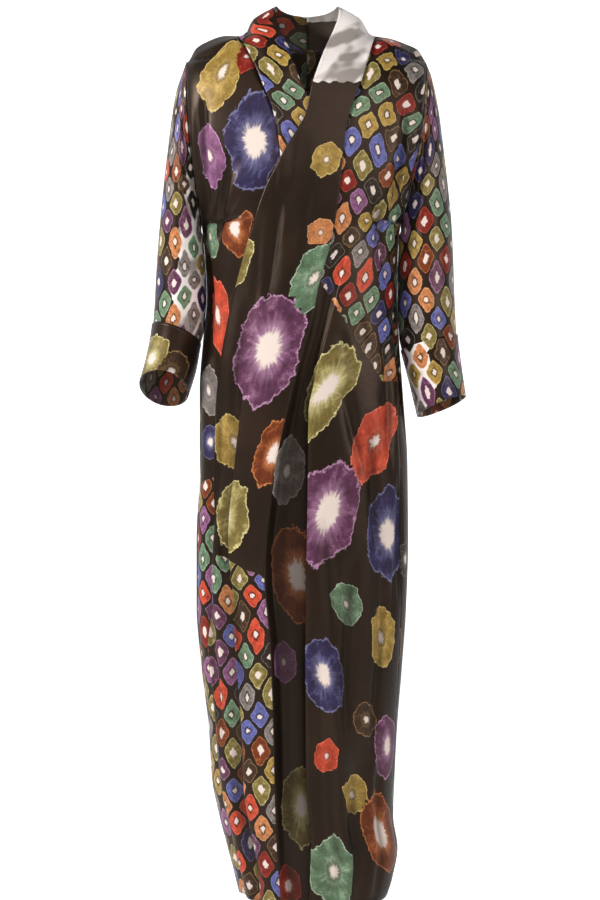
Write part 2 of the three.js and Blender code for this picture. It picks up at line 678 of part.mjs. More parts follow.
// Angles around a ring, from its outer limit by the front to the inner limit and back, one for each yoke row
const ringAngles = YOKE_ROWS.map((row) => {
  const t = (row.armhole - (SHOULDER_Z + ARMPIT_Z) / 2) / ((SHOULDER_Z - ARMPIT_Z) / 2);
  return Math.acos(Math.min(1, t));
}).reverse();
ringAngles.push(Math.PI);
for (let i = ringAngles.length - 2; i > 0; i -= 1) ringAngles.push(2 * Math.PI - ringAngles[i]);

function armholeRing(side) {
  const centre = (SHOULDER_Z + ARMPIT_Z) / 2;
  return ringAngles.map((angle) => {
    const z = centre + Math.cos(angle) * (SHOULDER_Z - ARMPIT_Z) / 2;
    const edge = side > 0 ? body.right(z) : body.left(z);
    const y = -Math.sign(Math.sin(angle)) * armholeHalf(z);
    return new THREE.Vector3(edge + side * (SEAM_GAP + ARMHOLE_CLEARANCE), y, z);
  });
}

function sleeveRing(row) {
  return ringAngles.map((angle) => {
    const share = (1 - Math.cos(angle)) / 2;
    const front = Math.sin(angle);
    const bow = Math.sign(row.outX) * row.bow * 4 * share * (1 - share);
    const x = mix(row.outX, row.inX, share) + bow;
    return new THREE.Vector3(x, -row.half * front, mix(row.outZ, row.inZ, share) + row.tilt * front);
  });
}

function sleeve(side, table) {
  return [armholeRing(side), ...table.map(sleeveRing)];
}

// The cuff lies on the end of its sleeve, moved out from the same rings
function cuff(table) {
  const rings = table.slice(-CUFF_RINGS).map(sleeveRing);
  return rings.map((ring) => {
    const centre = ring.reduce((sum, p) => sum.add(p), new THREE.Vector3()).divideScalar(ring.length);
    return ring.map((point, j) => {
      const before = ring[(j + ring.length - 1) % ring.length];
      const after = ring[(j + 1) % ring.length];
      const along = after.clone().sub(before);
      const axis = new THREE.Vector3(0, 0, 1);
      const out = along.cross(axis).normalize();
      if (out.dot(point.clone().sub(centre)) < 0) out.negate();
      return point.clone().addScaledVector(out, WALL + SEAM_GAP);
    });
  });
}

// ---- The garment ----

const silk = { roughness: 0.42, metalness: 0 };
const dark = new THREE.MeshStandardMaterial({ color: 0x352c26, side: THREE.DoubleSide, ...silk });
const plum = new THREE.MeshStandardMaterial({ color: 0x4b3040, side: THREE.DoubleSide, ...silk });
const olive = new THREE.MeshStandardMaterial({ color: 0x4a4226, side: THREE.DoubleSide, ...silk });

const reversed = (grid) => grid.map((row) => [...row].reverse());
const rightRings = (grid) => grid.map((ring) => [ring[0], ...ring.slice(1).reverse()]);
const shoulderSeam = (point, i, j, last) => (i === last && Math.abs(point.y) < 1 ? "y" : null);
const bandEndSeam = (point, i, j, last) => (i === last ? "x" : null);
const armholeSeam = (point, i) => (i === 0 ? "x" : null);
const backSeam = (column) => (point, i, j, last) => (j === column ? "x" : shoulderSeam(point, i, j, last));
const none = () => null;
const pieces = [
  ["back_left", backHalf(1), false, dark, backSeam(BACK_COLUMNS / 2)],
  ["back_right", backHalf(-1), false, dark, backSeam(0)],
  ["front_left", leftFront(), false, dark, shoulderSeam],
  ["front_right", rightFront(), false, dark, shoulderSeam],
  ["band_left", band(1, leftBandPath, leftSeam), false, plum, bandEndSeam],
  ["band_right", reversed(band(-1, rightBandPath, rightSeam)), false, plum, bandEndSeam],
  ["sleeve_left", sleeve(1, LEFT_SLEEVE), true, dark, armholeSeam],
  ["sleeve_right", rightRings(sleeve(-1, RIGHT_SLEEVE)), true, dark, armholeSeam],
  ["cuff_left", cuff(LEFT_SLEEVE), true, olive, none],
  ["cuff_right", rightRings(cuff(RIGHT_SLEEVE)), true, olive, none],
];

const kaftan = new THREE.Group();
for (const [name, grid, ring, material, square] of pieces) {
  const mesh = new THREE.Mesh(wall(grid, WALL, ring, square), material);
  mesh.name = name;
  kaftan.add(mesh);
}

export default kaftan;
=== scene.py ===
"""A floor-length wrap kaftan of resist-dyed silk, in the hollow form it has when worn."""
import functools
import math
import random

import bpy
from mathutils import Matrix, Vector


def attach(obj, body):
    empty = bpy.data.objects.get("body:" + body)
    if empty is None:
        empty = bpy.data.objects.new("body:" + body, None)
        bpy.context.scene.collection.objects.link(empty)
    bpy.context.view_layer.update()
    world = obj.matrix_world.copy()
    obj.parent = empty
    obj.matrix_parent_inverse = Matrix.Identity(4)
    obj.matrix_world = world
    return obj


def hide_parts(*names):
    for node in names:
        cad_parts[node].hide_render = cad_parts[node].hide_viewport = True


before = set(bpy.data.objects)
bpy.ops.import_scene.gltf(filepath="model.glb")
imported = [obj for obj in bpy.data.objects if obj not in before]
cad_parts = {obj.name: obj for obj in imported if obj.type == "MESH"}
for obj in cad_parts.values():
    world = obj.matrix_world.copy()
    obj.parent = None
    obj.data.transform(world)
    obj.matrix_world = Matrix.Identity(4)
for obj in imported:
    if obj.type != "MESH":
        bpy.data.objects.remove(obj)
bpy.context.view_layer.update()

bl_info = {
    "name": "Silk kaftan",
    "version": (1, 0, 0),
    "blender": (4, 5, 0),
    "location": "View3D > Sidebar > Kaftan",
    "description": "Builds a wrap kaftan of resist-dyed silk with a wide band and turned-back cuffs",
    "category": "Object",
}

MM = 0.001

# ---- Sizes of the garment, in millimetres, as its solids have them ----

WALL = 1.6
SEAM_GAP = 0.4
# Gap between the two halves of the collar, and how far the back starts behind a side seam, in degrees
NECK_CENTRE_GAP = 0.04
SIDE_SEAM_TURN = 0.05
SEAM_LAP = 10
MOST_TURN = 89.6
SHOULDER_Z = -36
ARMPIT_Z = -300
HEM_Z = -1366
SHOULDER_ROUND = 115
NECK_SEAM_X = 107
NECK_SEAM_BACK_Z = -12
ARMHOLE_HALF_DEPTH = 52
NECK_STARTS_Z = -120
# The collar: how far it curves out and up, and over which share of its width it comes to lie on the form
COLLAR_CROWN = 9
COLLAR_RISE = 0.6
COLLAR_LAID = (0.45, 0.85)
NECK_ALLOWANCE_IN = 2.6
NECK_ALLOWANCE_UP = 6
NECK_ALLOWANCE_X = 96
# Roundness of the garment's sections and of its shoulders
SECTION_POWER = 0.9
SHOULDER_POWER = 0.6
# Run of a lap's tip, and the runs in which a soft fold starts and ends
TIP_RUN = 5
FOLD_START_RUN = 110
FOLD_END_RUN = 90
# How soon a crease thins out towards its ends
CREASE_TAPER = 0.7
# The right front under the left one: depth just under the leading edge, the runs outside and inside of it,
# and the degrees from its side seam in which it reaches that depth
UNDERLAP_EDGE = 3.6
UNDERLAP_RUN_OUT = 20
UNDERLAP_RUN_IN = 38
UNDERLAP_SEAM_TURN = (4, 13)
# How much further behind the band a sewn-on strip lies: everywhere, and over the shoulder
SEWN_EXTRA = 0.3
SEWN_SHOULDER_DEPTH = 3.5
SEWN_SHOULDER_Z = (-150, -80)
SEWN_UNDERLAP_EXTRA = 0.6
# How far from the band's seam the left front reaches the depth of its recessed strip
STRIP_STARTS = 12
# Share of the top edge of the back from the armhole to the neck
BACK_SHOULDER_SHARE = 0.28


def table(names, *rows):
    """A table with named columns, one row for each section or fold."""
    keys = names.split()
    return [dict(zip(keys, row)) for row in rows]


BODY = table(
    "z left right front back",
    (60, -192, 189, 82, 80), (-36, -192, 189, 86, 84), (-100, -190, 186, 94, 93),
    (-170, -185, 177, 104, 99), (-240, -176, 162, 111, 101), (-300, -168, 149, 112, 100),
    (-350, -163, 145, 111, 98), (-410, -160, 144, 110, 97), (-480, -166, 147, 110, 101),
    (-560, -172, 153, 111, 107), (-680, -172, 161, 113, 113), (-800, -177, 162, 115, 114),
    (-900, -177, 159, 116, 113), (-1000, -169, 152, 116, 112), (-1100, -157, 144, 115, 112),
    (-1180, -152, 140, 114, 113), (-1240, -140, 138, 113, 114), (-1290, -127, 145, 112, 115),
    (-1340, -115, 137, 111, 116), (-1400, -104, 122, 110, 116),
)
RIDGE = table("x z", (0, 36), (60, 22), (NECK_SEAM_X, 6), (132, 2), (158, -7), (177, -16), (192, SHOULDER_Z))
RIGHT_SHOULDER_RISE = 5
YOKE_ROWS = table(
    "armhole seam",
    (-300, -300), (-285, -267), (-262, -232), (-230, -195), (-195, -155), (-160, -115), (-125, -75),
    (-92, -40), (-66, -17), (-46, -4), (-36, 6),
)
SIDE_SEAM = table(
    "z left right",
    (60, 90, 90), (-300, 90, 90), (-420, 85, 84), (-640, 79, 66), (-900, 78, 69), (-1100, 79, 75),
    (-1400, 80, 80),
)
LEFT_BAND = table(
    "z lead seam",
    (6, 41, 107), (-28, 25, 99), (-68, 14, 88), (-98, 4, 78), (-130, -2, 66), (-160, -18, 60),
    (-195, -39, 56), (-264, -72, 49), (-328, -92, 38), (-400, -112, 18), (-450, -124, 8), (-531, -139, -15),
    (-605, -147, -34), (-720, -148, -56), (-845, -149, -67), (-960, -157, -58), (-1053, -148, -54),
    (-1180, -136, -51), (-1270, -117, -48), (-1400, -93, -40),
)
RIGHT_BAND = table(
    "z lead seam",
    (6, -36, -107), (-28, -21, -92), (-66, -4, -77), (-112, 16, -58), (-160, 34, -46), (-232, 50, -40),
    (-330, 60, -36), (-500, 66, -32), (-1400, 68, -30),
)
NECK_STATIONS = table(
    "lead_x lead_y lead_z seam_x seam_z back body",
    (0, 60, 47, 0, None, 1, 0), (26, 55, 50, 32, None, 1, 0), (42, 38, 54, 62, None, 1, 0),
    (49, 18, 57, 88, None, 1, 0), (51, -4, 49, NECK_SEAM_X, 6, 0, 0), (49, -22, 32, None, -4, 0, 0),
    (43, -36, 12, None, -17, 0, 0), (33, -52, -12, None, -40, 0, 0.4), (21, -68, -44, None, -75, 0, 0.85),
    (8, -84, -84, None, -115, 0, 1),
)
STRIP_FOLD = table(
    "z x depth lap",
    (6, 128, 0, 0), (-106, 106, 0, 0), (-195, 88, 0, 0), (-286, 76, 0, 0), (-352, 62, 2, 0),
    (-450, 38, 7, 0), (-540, 14, 12, 1), (-600, 3, 16, 8), (-704, 2, 18, 11), (-985, -2, 19, 12),
    (-1174, -1, 18, 11), (-1260, 7, 15, 8), (-1400, 3, 12, 5),
)
# The cloth lies this much deeper in the recessed strip than its solid
STRIP_DEEPER = 1.25
BAND_FOLD = table(
    "z share depth lap",
    (6, 0.38, 0, 0), (-500, 0.38, 1, 0), (-576, 0.37, 6, 0.5), (-660, 0.36, 12, 7), (-787, 0.3, 13, 9),
    (-900, 0.42, 13, 9), (-1075, 0.46, 11, 8), (-1216, 0.42, 11, 7), (-1400, 0.42, 9.5, 5),
)
UNDERLAP = table("z depth", (6, 6), (-330, 7), (-450, 14), (-560, 22), (-640, 27), (-1400, 27))
SOFT_FOLDS = table(
    "turn_top turn_foot top foot width depth",
    (42, 52, -680, -1010, 5.5, 7), (20, 24, -980, -1366, 6, -7), (10, 11, -900, -1366, 4, 5),
    (38, 36, -1080, -1366, 6, 8), (27, 45, -420, -560, 5, 4), (55, 66, -130, -330, 6, 6),
    (1, -7, -150, -380, 4, 4), (-50, -66, -150, -350, 6, 8), (-60, -62, -420, -700, 5, 5),
    (98, 102, -520, -1366, 7, 8), (124, 122, -180, -1366, 8, 11), (143, 146, -560, -1366, 6, -8),
    (158, 163, -260, -1366, 7, 12), (180, 181, -700, -1366, 8, -8), (202, 197, -220, -1366, 7, 11),
    (219, 217, -620, -1366, 6, -8), (237, 240, -190, -1366, 8, 11), (262, 258, -480, -1366, 7, 9),
)
SLEEVE_COLUMNS = "out_x out_z in_x in_z half bow tilt"
LEFT_SLEEVE = table(
    SLEEVE_COLUMNS,
    (197, -54, 150, -303, 54, 8, 0), (204, -80, 150, -308, 57, 6, 0), (211, -118, 150, -315, 60, 4, 0),
    (218, -172, 150, -326, 63, 3, 0), (225, -232, 150, -343, 66, 2, 0), (231, -294, 149, -368, 68, 0, 0),
    (234, -358, 149, -404, 69, 0, 1), (236, -418, 151, -450, 70, 0, 2), (239, -472, 157, -497, 71, 0, 3),
    (245, -522, 166, -550, 71, 0, 5), (252, -571, 178, -601, 71, 0, 8),
)
RIGHT_SLEEVE = table(
    SLEEVE_COLUMNS,
    (-199, -54, -169, -303, 54, 8, 0), (-208, -80, -169, -308, 57, 6, 0),
    (-215, -118, -169, -315, 60, 4, 0), (-222, -172, -169, -326, 63, 3, 0),
    (-229, -232, -168, -343, 66, 2, 0), (-235, -294, -167, -368, 68, 0, 2),
    (-240, -358, -166, -404, 69, 0, 5), (-243, -412, -166, -446, 70, 0, 9),
    (-246, -458, -172, -488, 71, 0, 13), (-254, -506, -179, -526, 71, 0, 20),
    (-266, -553, -191, -562, 71, 0, 27),
)
CUFF_RINGS = 3
# How much closer the inner side of each sleeve hangs to the body, by height
NEAR_BODY = table(
    "z left right",
    (-304, 0, 0), (-315, 2.9, 3.0), (-330, 3.6, 3.8), (-345, 4.3, 4.2), (-360, 4.2, 4.7), (-375, 4.4, 5.1),
    (-390, 4.6, 5.4), (-405, 4.6, 5.6), (-420, 5.0, 5.4), (-435, 5.3, 4.2), (-450, 5.5, 3.0),
    (-465, 5.8, 3.1), (-480, 6.8, 2.0), (-495, 5.5, 0), (-530, 2, 0), (-560, 0, 0),
)

# Fine creases: turn and height where each starts and ends, its width in degrees and its depth
CREASES = table(
    "turn_from z_from turn_to z_to width depth",
    (-14, -165, -17, -330, 1.6, 1.6), (-5, -150, -8, -290, 1.3, 1.2), (3, -190, -3, -390, 1.8, 1.8),
    (10, -170, 6, -300, 1.4, 1.3), (14, -215, 9, -350, 1.6, 1.6), (-24, -300, -31, -470, 1.8, 1.5),
    (22, -470, 32, -540, 2.2, 2.2), (33, -430, 46, -520, 2, 1.8), (40, -330, 56, -250, 2, 2.2),
    (35, -360, 60, -285, 1.8, 2), (-46, -215, -70, -300, 2.2, 3), (-38, -260, -62, -330, 2, 2.4),
    (-30, -190, -52, -262, 1.7, 1.6), (50, -560, 58, -700, 2.4, 2), (30, -640, 27, -820, 2.4, -1.6),
    (62, -760, 58, -940, 2.6, 2), (16, -1120, 14, -1330, 2, -2), (31, -1180, 29, -1366, 2.2, 2.4),
    (48, -1130, 44, -1366, 2.4, -2), (-58, -740, -62, -900, 2.4, 2.2), (-44, -1000, -41, -1180, 2, 1.8),
    (-50, -1120, -46, -1366, 2, 2), (72, -420, 78, -640, 2.4, 2.4), (96, -700, 92, -960, 2.6, -2),
    (112, -300, 108, -520, 2.4, 2.4), (120, -900, 118, -1180, 2.2, -2), (136, -420, 140, -700, 2.6, 2.6),
    (150, -180, 146, -330, 2.2, 2), (152, -1000, 155, -1366, 2.4, 2.4), (170, -320, 172, -560, 2.6, -2),
    (176, -760, 174, -1060, 2.2, 2), (188, -300, 186, -520, 2.4, 2.2), (190, -1040, 192, -1366, 2.4, 2.4),
    (208, -480, 206, -760, 2.6, -2), (214, -190, 218, -340, 2.2, 2), (226, -800, 229, -1080, 2.4, 2.2),
    (246, -320, 249, -560, 2.4, 2.4), (250, -980, 252, -1366, 2.4, -2), (268, -520, 271, -760, 2.4, 2),
)
# Broader soft folds that only show on the cloth: the same columns
DRAPES = table(
    "turn_from z_from turn_to z_to width depth",
    (-58, -95, -70, -310, 3.6, 6), (-68, -120, -77, -330, 2.6, 5), (-40, -190, -60, -345, 3.2, 4.5),
    (-74, -330, -66, -520, 3.4, 4), (57, -110, 66, -300, 3.4, 5), (70, -150, 76, -330, 2.8, 4),
    (44, -250, 62, -395, 3.4, 4), (-10, -240, -22, -440, 3.2, 3.4), (6, -200, -2, -420, 2.8, 3),
    (-34, -420, -44, -640, 3.6, 3.4), (-50, -520, -56, -800, 3.4, 4), (24, -560, 34, -700, 3.4, 4),
    (38, -600, 44, -820, 3.2, 4), (60, -480, 56, -660, 3.6, 4), (12, -760, 18, -980, 3.4, 3.6),
    (27, -820, 25, -1120, 3.6, 5), (50, -880, 47, -1150, 3.4, 4), (-38, -820, -36, -1060, 3.2, 3.4),
    (-60, -860, -58, -1140, 3.6, 4), (-46, -1080, -44, -1366, 3.4, 4), (33, -1150, 30, -1366, 3.2, 4),
    (17, -1060, 16, -1366, 3, 3.6), (56, -1120, 52, -1366, 3.4, 4), (64, -700, 66, -900, 3, 3.4),
)
# Creases of the sleeves, start and end: degrees from the outer line by the front, and share of the length
SLEEVE_CREASES = table(
    "around_from along_from around_to along_to width depth",
    (70, 0.05, 120, 0.42, 9, 4), (40, 0.12, 95, 0.5, 8, 2.4), (100, 0.38, 80, 0.62, 7, 2),
    (60, 0.5, 75, 0.74, 7, 1.8), (250, 0.08, 215, 0.45, 10, 4), (300, 0.2, 260, 0.52, 8, 2.4),
    (240, 0.5, 255, 0.74, 8, 2), (150, 0.3, 135, 0.6, 9, 2.6),
)

ALL_CREASES = CREASES + DRAPES
# How deep the creases and drapes are, as a multiple of the tables' depths
CREASE_DEPTH = 1.9

# Where the hem hangs a little higher: turn, width in degrees and lift in millimetres
HEM_LIFTS = table(
    "turn width lift",
    (-74, 17, 8), (-18, 9, 5), (12, 9, 1.5), (46, 10, 2), (88, 15, 6), (124, 11, 2.5), (158, 12, 4),
    (196, 10, 2), (232, 12, 4.5),
)
HEM_LIFT_RUN = 80

# Radius round which the sleeve's print is laid
SLEEVE_RADIUS = 50

# Points of the cloth's grids
FOLD_PARTS = 3
FRONT_PARTS = 40
BAND_PARTS = 16
BACK_PARTS = 110
NECK_PARTS = 5
RING_PARTS = 72
SLEEVE_ROWS = 70
CUFF_ROWS = 16
ROW_STEP = 9
YOKE_PARTS = 4


# ---- Reading the tables ----

def column(rows, key, name):
    """Smooth curve through one column of a table, without overshoot."""
    rows = sorted(rows, key=lambda row: row[key])
    at = [row[key] for row in rows]
    value = [row[name] for row in rows]
    last = len(rows) - 1
    secants = [(value[i + 1] - value[i]) / (at[i + 1] - at[i]) for i in range(last)]
    slopes = [0.0] * (last + 1)
    for i in range(1, last):
        before, after = secants[i - 1], secants[i]
        slopes[i] = 0.0 if before * after <= 0 else 2 * before * after / (before + after)

    def curve(position):
        if position <= at[0]:
            return value[0]
        if position >= at[last]:
            return value[last]
        i = 0
        while position > at[i + 1]:
            i += 1
        span = at[i + 1] - at[i]
        t = (position - at[i]) / span
        straight = value[i] * (1 - t) + value[i + 1] * t
        bend = slopes[i] * (1 - t) - slopes[i + 1] * t - secants[i] * (1 - 2 * t)
        return straight + t * (1 - t) * span * bend

    return curve


def columns(rows, key, names):
    """Smooth curves through several columns of a table."""
    return [column(rows, key, name) for name in names.split()]


def clamp(value, low=0.0, high=1.0):
    return min(high, max(low, value))


def ease(start, end, value):
    """Soft step from 0 at start to 1 at end."""
    t = clamp((value - start) / (end - start))
    return t * t * (3 - 2 * t)


def mix(a, b, t):
    return a + (b - a) * t


def turned(grid):
    return [list(reversed(row)) for row in grid]


body_left, body_right, body_front, body_back = columns(BODY, "z", "left right front back")
side_left, side_right = columns(SIDE_SEAM, "z", "left right")
left_lead, left_seam = columns(LEFT_BAND, "z", "lead seam")
right_lead, right_seam = columns(RIGHT_BAND, "z", "lead seam")
strip_x, strip_solid_depth, strip_lap = columns(STRIP_FOLD, "z", "x depth lap")
fold_share, fold_depth, fold_lap = columns(BAND_FOLD, "z", "share depth lap")
near_left, near_right = columns(NEAR_BODY, "z", "left right")
ridge_line = column(RIDGE, "x", "z")
under_depth = column(UNDERLAP, "z", "depth")


# ---- The form that the cloth follows ----

def ridge(x):
    """Height of the shoulder ridge; the wearer's right shoulder is a little higher."""
    share = (-x - NECK_SEAM_X) / (body_right(SHOULDER_Z) - NECK_SEAM_X)
    rise = RIGHT_SHOULDER_RISE * math.sin(math.pi * share) if 0 < share < 1 else 0
    return ridge_line(abs(x)) + rise


def middle(z):
    return (body_left(z) + body_right(z)) / 2


def half_width(z):
    return (body_right(z) - body_left(z)) / 2


def armhole_half(z):
    centre = (SHOULDER_Z + ARMPIT_Z) / 2
    t = (z - centre) / (SHOULDER_Z - centre)
    return 0.0 if abs(t) >= 1 else ARMHOLE_HALF_DEPTH * math.sqrt(1 - t * t)


def turn_between(turn, centre):
    return (turn - centre + 540) % 360 - 180


def bell(turn, centre, width):
    """1 at the centre of a fold, falling to 0 beside it."""
    return math.exp(-(turn_between(turn, centre) / width) ** 2)


def soft_fold(turn, z):
    """Depth of the soft folds, which the solids have too, in millimetres."""
    depth = 0.0
    for fold in SOFT_FOLDS:
        top, foot = fold["top"], fold["foot"]
        centre = mix(fold["turn_top"], fold["turn_foot"], (z - top) / (foot - top))
        start = ease(top, top - FOLD_START_RUN, z)
        end = 1.0 if foot <= HEM_Z else 1 - ease(foot + FOLD_END_RUN, foot, z)
        depth += fold["depth"] * start * end * bell(turn, centre, fold["width"])
    return depth


def crease(turn, z):
    """Depth of the creases and drapes at a place, in millimetres."""
    depth = 0.0
    for row in ALL_CREASES:
        along = (z - row["z_from"]) / (row["z_to"] - row["z_from"])
        if 0 < along < 1:
            centre = mix(row["turn_from"], row["turn_to"], along)
            taper = math.sin(math.pi * along) ** CREASE_TAPER
            depth += row["depth"] * taper * bell(turn, centre, row["width"])
    return depth * CREASE_DEPTH


def hem_lift(turn, z):
    """How much higher the cloth lies near the uneven hem."""
    if z > HEM_Z + HEM_LIFT_RUN:
        return 0.0
    rise = sum(row["lift"] * bell(turn, row["turn"], row["width"]) for row in HEM_LIFTS)
    return rise * (1 - ease(HEM_Z, HEM_Z + HEM_LIFT_RUN, z))


def form_point(turn, z, lift):
    """Point of the form at a turn in degrees (0 front, 90 wearer's left, 180 back), moved out by lift."""
    s = math.sin(math.radians(turn))
    c = math.cos(math.radians(turn))
    half = half_width(z)
    x = middle(z) + half * s
    deep = body_front(z) if c >= 0 else body_back(z)
    below_top = ridge(x) - z
    rounded = (1 - (1 - clamp(below_top / SHOULDER_ROUND)) ** 2) ** SHOULDER_POWER
    arm = armhole_half(z)
    y = -math.copysign(1, c) * (arm + rounded * (deep - arm) * abs(c) ** SECTION_POWER)
    top = max(0.0, SHOULDER_ROUND - below_top)
    out = Vector((s / half, y / deep / deep, top / SHOULDER_ROUND / SHOULDER_ROUND)).normalized()
    return Vector((x, y, z + hem_lift(turn, z))) + out * (lift - soft_fold(turn, z) - crease(turn, z))


def x_at(turn, z):
    return middle(z) + half_width(z) * math.sin(math.radians(turn))


def turn_at(x, z):
    return math.degrees(math.asin(clamp((x - middle(z)) / half_width(z), -0.9999, 0.9999)))


def side_turn(side, z):
    """Turn of a side seam; side is 1 for the wearer's left and -1 for the right."""
    seam = side_right if side > 0 else side_left
    return side * min(seam(z), MOST_TURN)


def front_point(x, z, lift):
    return form_point(turn_at(x, z), z, lift)


def ridge_point(x, z, lift):
    return front_point(x, min(z, ridge(x)), lift)


def back_point(x, z, lift):
    return form_point(180 - turn_at(x, z), z, lift)


# ---- Paths across the pieces ----

def smooth_path(steps, parts):
    """The steps of a path, each (x, lift), joined by a rounded curve with parts points to a stretch."""
    result = []
    last = len(steps) - 1
    for i in range(last):
        before, here = steps[max(0, i - 1)], steps[i]
        after, beyond = steps[i + 1], steps[min(last, i + 2)]
        run = abs(after[0] - here[0])
        reach = run + abs(after[1] - here[1]) + 0.01
        # A short stretch beside this one flattens the curve at that end
        near = min(1.0, (min(abs(here[0] - before[0]), run) + 0.01) * 3 / reach + 0.35)
        far = min(1.0, (min(abs(beyond[0] - after[0]), run) + 0.01) * 3 / reach + 0.35)
        for k in range(parts):
            t = k / parts
            from_here = 2 * t ** 3 - 3 * t ** 2 + 1
            leaving = t ** 3 - 2 * t ** 2 + t
            arriving = t ** 3 - t ** 2
            point = []
            for p, q, r, s in zip(before, here, after, beyond):
                slope_q = clamp((r - p) / 2, -reach, reach) * near
                slope_r = clamp((s - q) / 2, -reach, reach) * far
                point.append(from_here * q + leaving * slope_q + (1 - from_here) * r + arriving * slope_r)
            result.append(tuple(point))
    result.append(steps[last])
    return result


def lap_steps(x, depth, lap):
    """Across a lap: from the recess behind it, under it, back to its front edge and on."""
    loose = max(0.0, 1 - lap / 6)
    shut = 1 - loose
    return [
        (x + lap - TIP_RUN * 1.6 * loose, -depth),
        (x + lap * 0.98 - TIP_RUN * 0.8 * loose + shut * 1.5, -depth * 0.62),
        (x + lap * 0.3 - TIP_RUN * 0.2 * loose, -depth * 0.36),
        (x - shut * 1.2, -depth * 0.1),
        (x + TIP_RUN * 0.8, 0),
    ]


def strip_depth(z):
    return strip_solid_depth(z) * STRIP_DEEPER


def sewn_depth(z):
    """How far a sewn-on strip lies behind the band: more over the rounding of the shoulder."""
    return WALL + SEAM_GAP + SEWN_EXTRA + SEWN_SHOULDER_DEPTH * ease(*SEWN_SHOULDER_Z, z)


def depth_under(x, z):
    """How deep the right front lies: 0 at its side seam, just under the leading edge, deeper further in."""
    away = x - left_lead(z)
    if away < 0:
        clear_of_seam = ease(*UNDERLAP_SEAM_TURN, turn_at(x, z) + side_left(z))
        return UNDERLAP_EDGE * ease(-UNDERLAP_RUN_OUT, 0, away) * clear_of_seam
    return mix(UNDERLAP_EDGE, under_depth(z), ease(0, UNDERLAP_RUN_IN, away))


def body_rows():
    """The rows: height at the armhole, height at the band's seam, and whether it is the shoulder's row."""
    count = round((ARMPIT_Z - HEM_Z) / ROW_STEP)
    rows = [(mix(HEM_Z, ARMPIT_Z, i / count),) * 2 + (False,) for i in range(count)]
    for lower, upper in zip(YOKE_ROWS, YOKE_ROWS[1:]):
        for k in range(YOKE_PARTS):
            armhole_z, seam_z = (mix(lower[at], upper[at], k / YOKE_PARTS) for at in ("armhole", "seam"))
            rows.append((armhole_z, seam_z, False))
    rows.append((SHOULDER_Z, YOKE_ROWS[-1]["seam"], True))
    return rows


def row_point(x, lift, row, seam_x, arm_x):
    """A point of a row, whose height changes between the band's seam and the armhole."""
    z = ridge(x) if row[2] else mix(row[1], row[0], clamp((x - seam_x) / (arm_x - seam_x)))
    return front_point(x, z, lift)


def left_front_grid(rows):
    grid = []
    for row in rows:
        armhole_z, z, _ = row
        seam = left_seam(z)
        under = -sewn_depth(z)
        depth, fold = strip_depth(z), strip_x(z)
        steps = [
            (seam - SEAM_LAP, under), (seam, under), (seam + 5, mix(under, -depth, 0.6)),
            (seam + STRIP_STARTS, -depth), (mix(seam + STRIP_STARTS, fold - 8, 0.5), -depth * 0.92),
            *lap_steps(fold, depth, strip_lap(z)),
        ]
        edge_turn = side_turn(1, armhole_z)
        arm_x = x_at(edge_turn, armhole_z)
        points = [row_point(x, lift, row, seam, arm_x) for x, lift in smooth_path(steps, FOLD_PARTS)]
        last_x = steps[-1][0]
        for j in range(1, FRONT_PARTS + 1):
            share = j / FRONT_PARTS
            if armhole_z <= ARMPIT_Z:
                points.append(form_point(mix(turn_at(last_x, z), edge_turn, share), z, 0))
            else:
                points.append(row_point(mix(last_x, arm_x, share), 0, row, seam, arm_x))
        grid.append(points)
    return grid


def right_front_grid(rows):
    grid = []
    for row in rows:
        armhole_z, z, _ = row
        seam = right_seam(z)
        edge_turn = side_turn(-1, armhole_z)
        arm_x = x_at(edge_turn, armhole_z)
        last_x = seam - TIP_RUN
        points = []
        for j in range(FRONT_PARTS):
            share = j / (FRONT_PARTS - 1)
            if armhole_z <= ARMPIT_Z:
                turn = mix(edge_turn, turn_at(last_x, z), share)
                points.append(form_point(turn, z, -depth_under(x_at(turn, z), z)))
            else:
                x = mix(arm_x, last_x, share)
                points.append(row_point(x, -depth_under(x, z), row, seam, arm_x))
        for past, sewn in ((-2, 0.5), (0, 1), (SEAM_LAP / 2, 1), (SEAM_LAP, 1)):
            x = seam + past
            lift = -depth_under(x, z) - (sewn_depth(z) + SEWN_UNDERLAP_EXTRA) * sewn
            points.append(row_point(x, lift, row, seam, arm_x))
        grid.append(points)
    return grid


def left_band_path(z):
    lead, seam = left_lead(z), left_seam(z)
    fold = mix(lead, seam, fold_share(z))
    depth = fold_depth(z)
    rest = fold + TIP_RUN * 0.8
    steps = [(lead, 0), (mix(lead, fold, 0.28), -depth * 0.05), (mix(lead, fold, 0.55), -depth * 0.7)]
    steps += lap_steps(fold, depth, fold_lap(z))
    steps += [(mix(rest, seam - SEAM_LAP, 0.5), 0), (seam - SEAM_LAP, 0), (seam, 0)]
    return smooth_path(steps, FOLD_PARTS)


def right_band_path(z):
    lead, seam = right_lead(z), right_seam(z)
    xs = [mix(lead, seam + SEAM_LAP, j / BAND_PARTS) for j in range(BAND_PARTS + 1)]
    return [(x, -depth_under(x, z)) for x in xs + [seam + SEAM_LAP / 2, seam]]


def neck_seam_z(x):
    return mix(NECK_SEAM_BACK_Z, ridge(NECK_SEAM_X), (abs(x) / NECK_SEAM_X) ** 2)


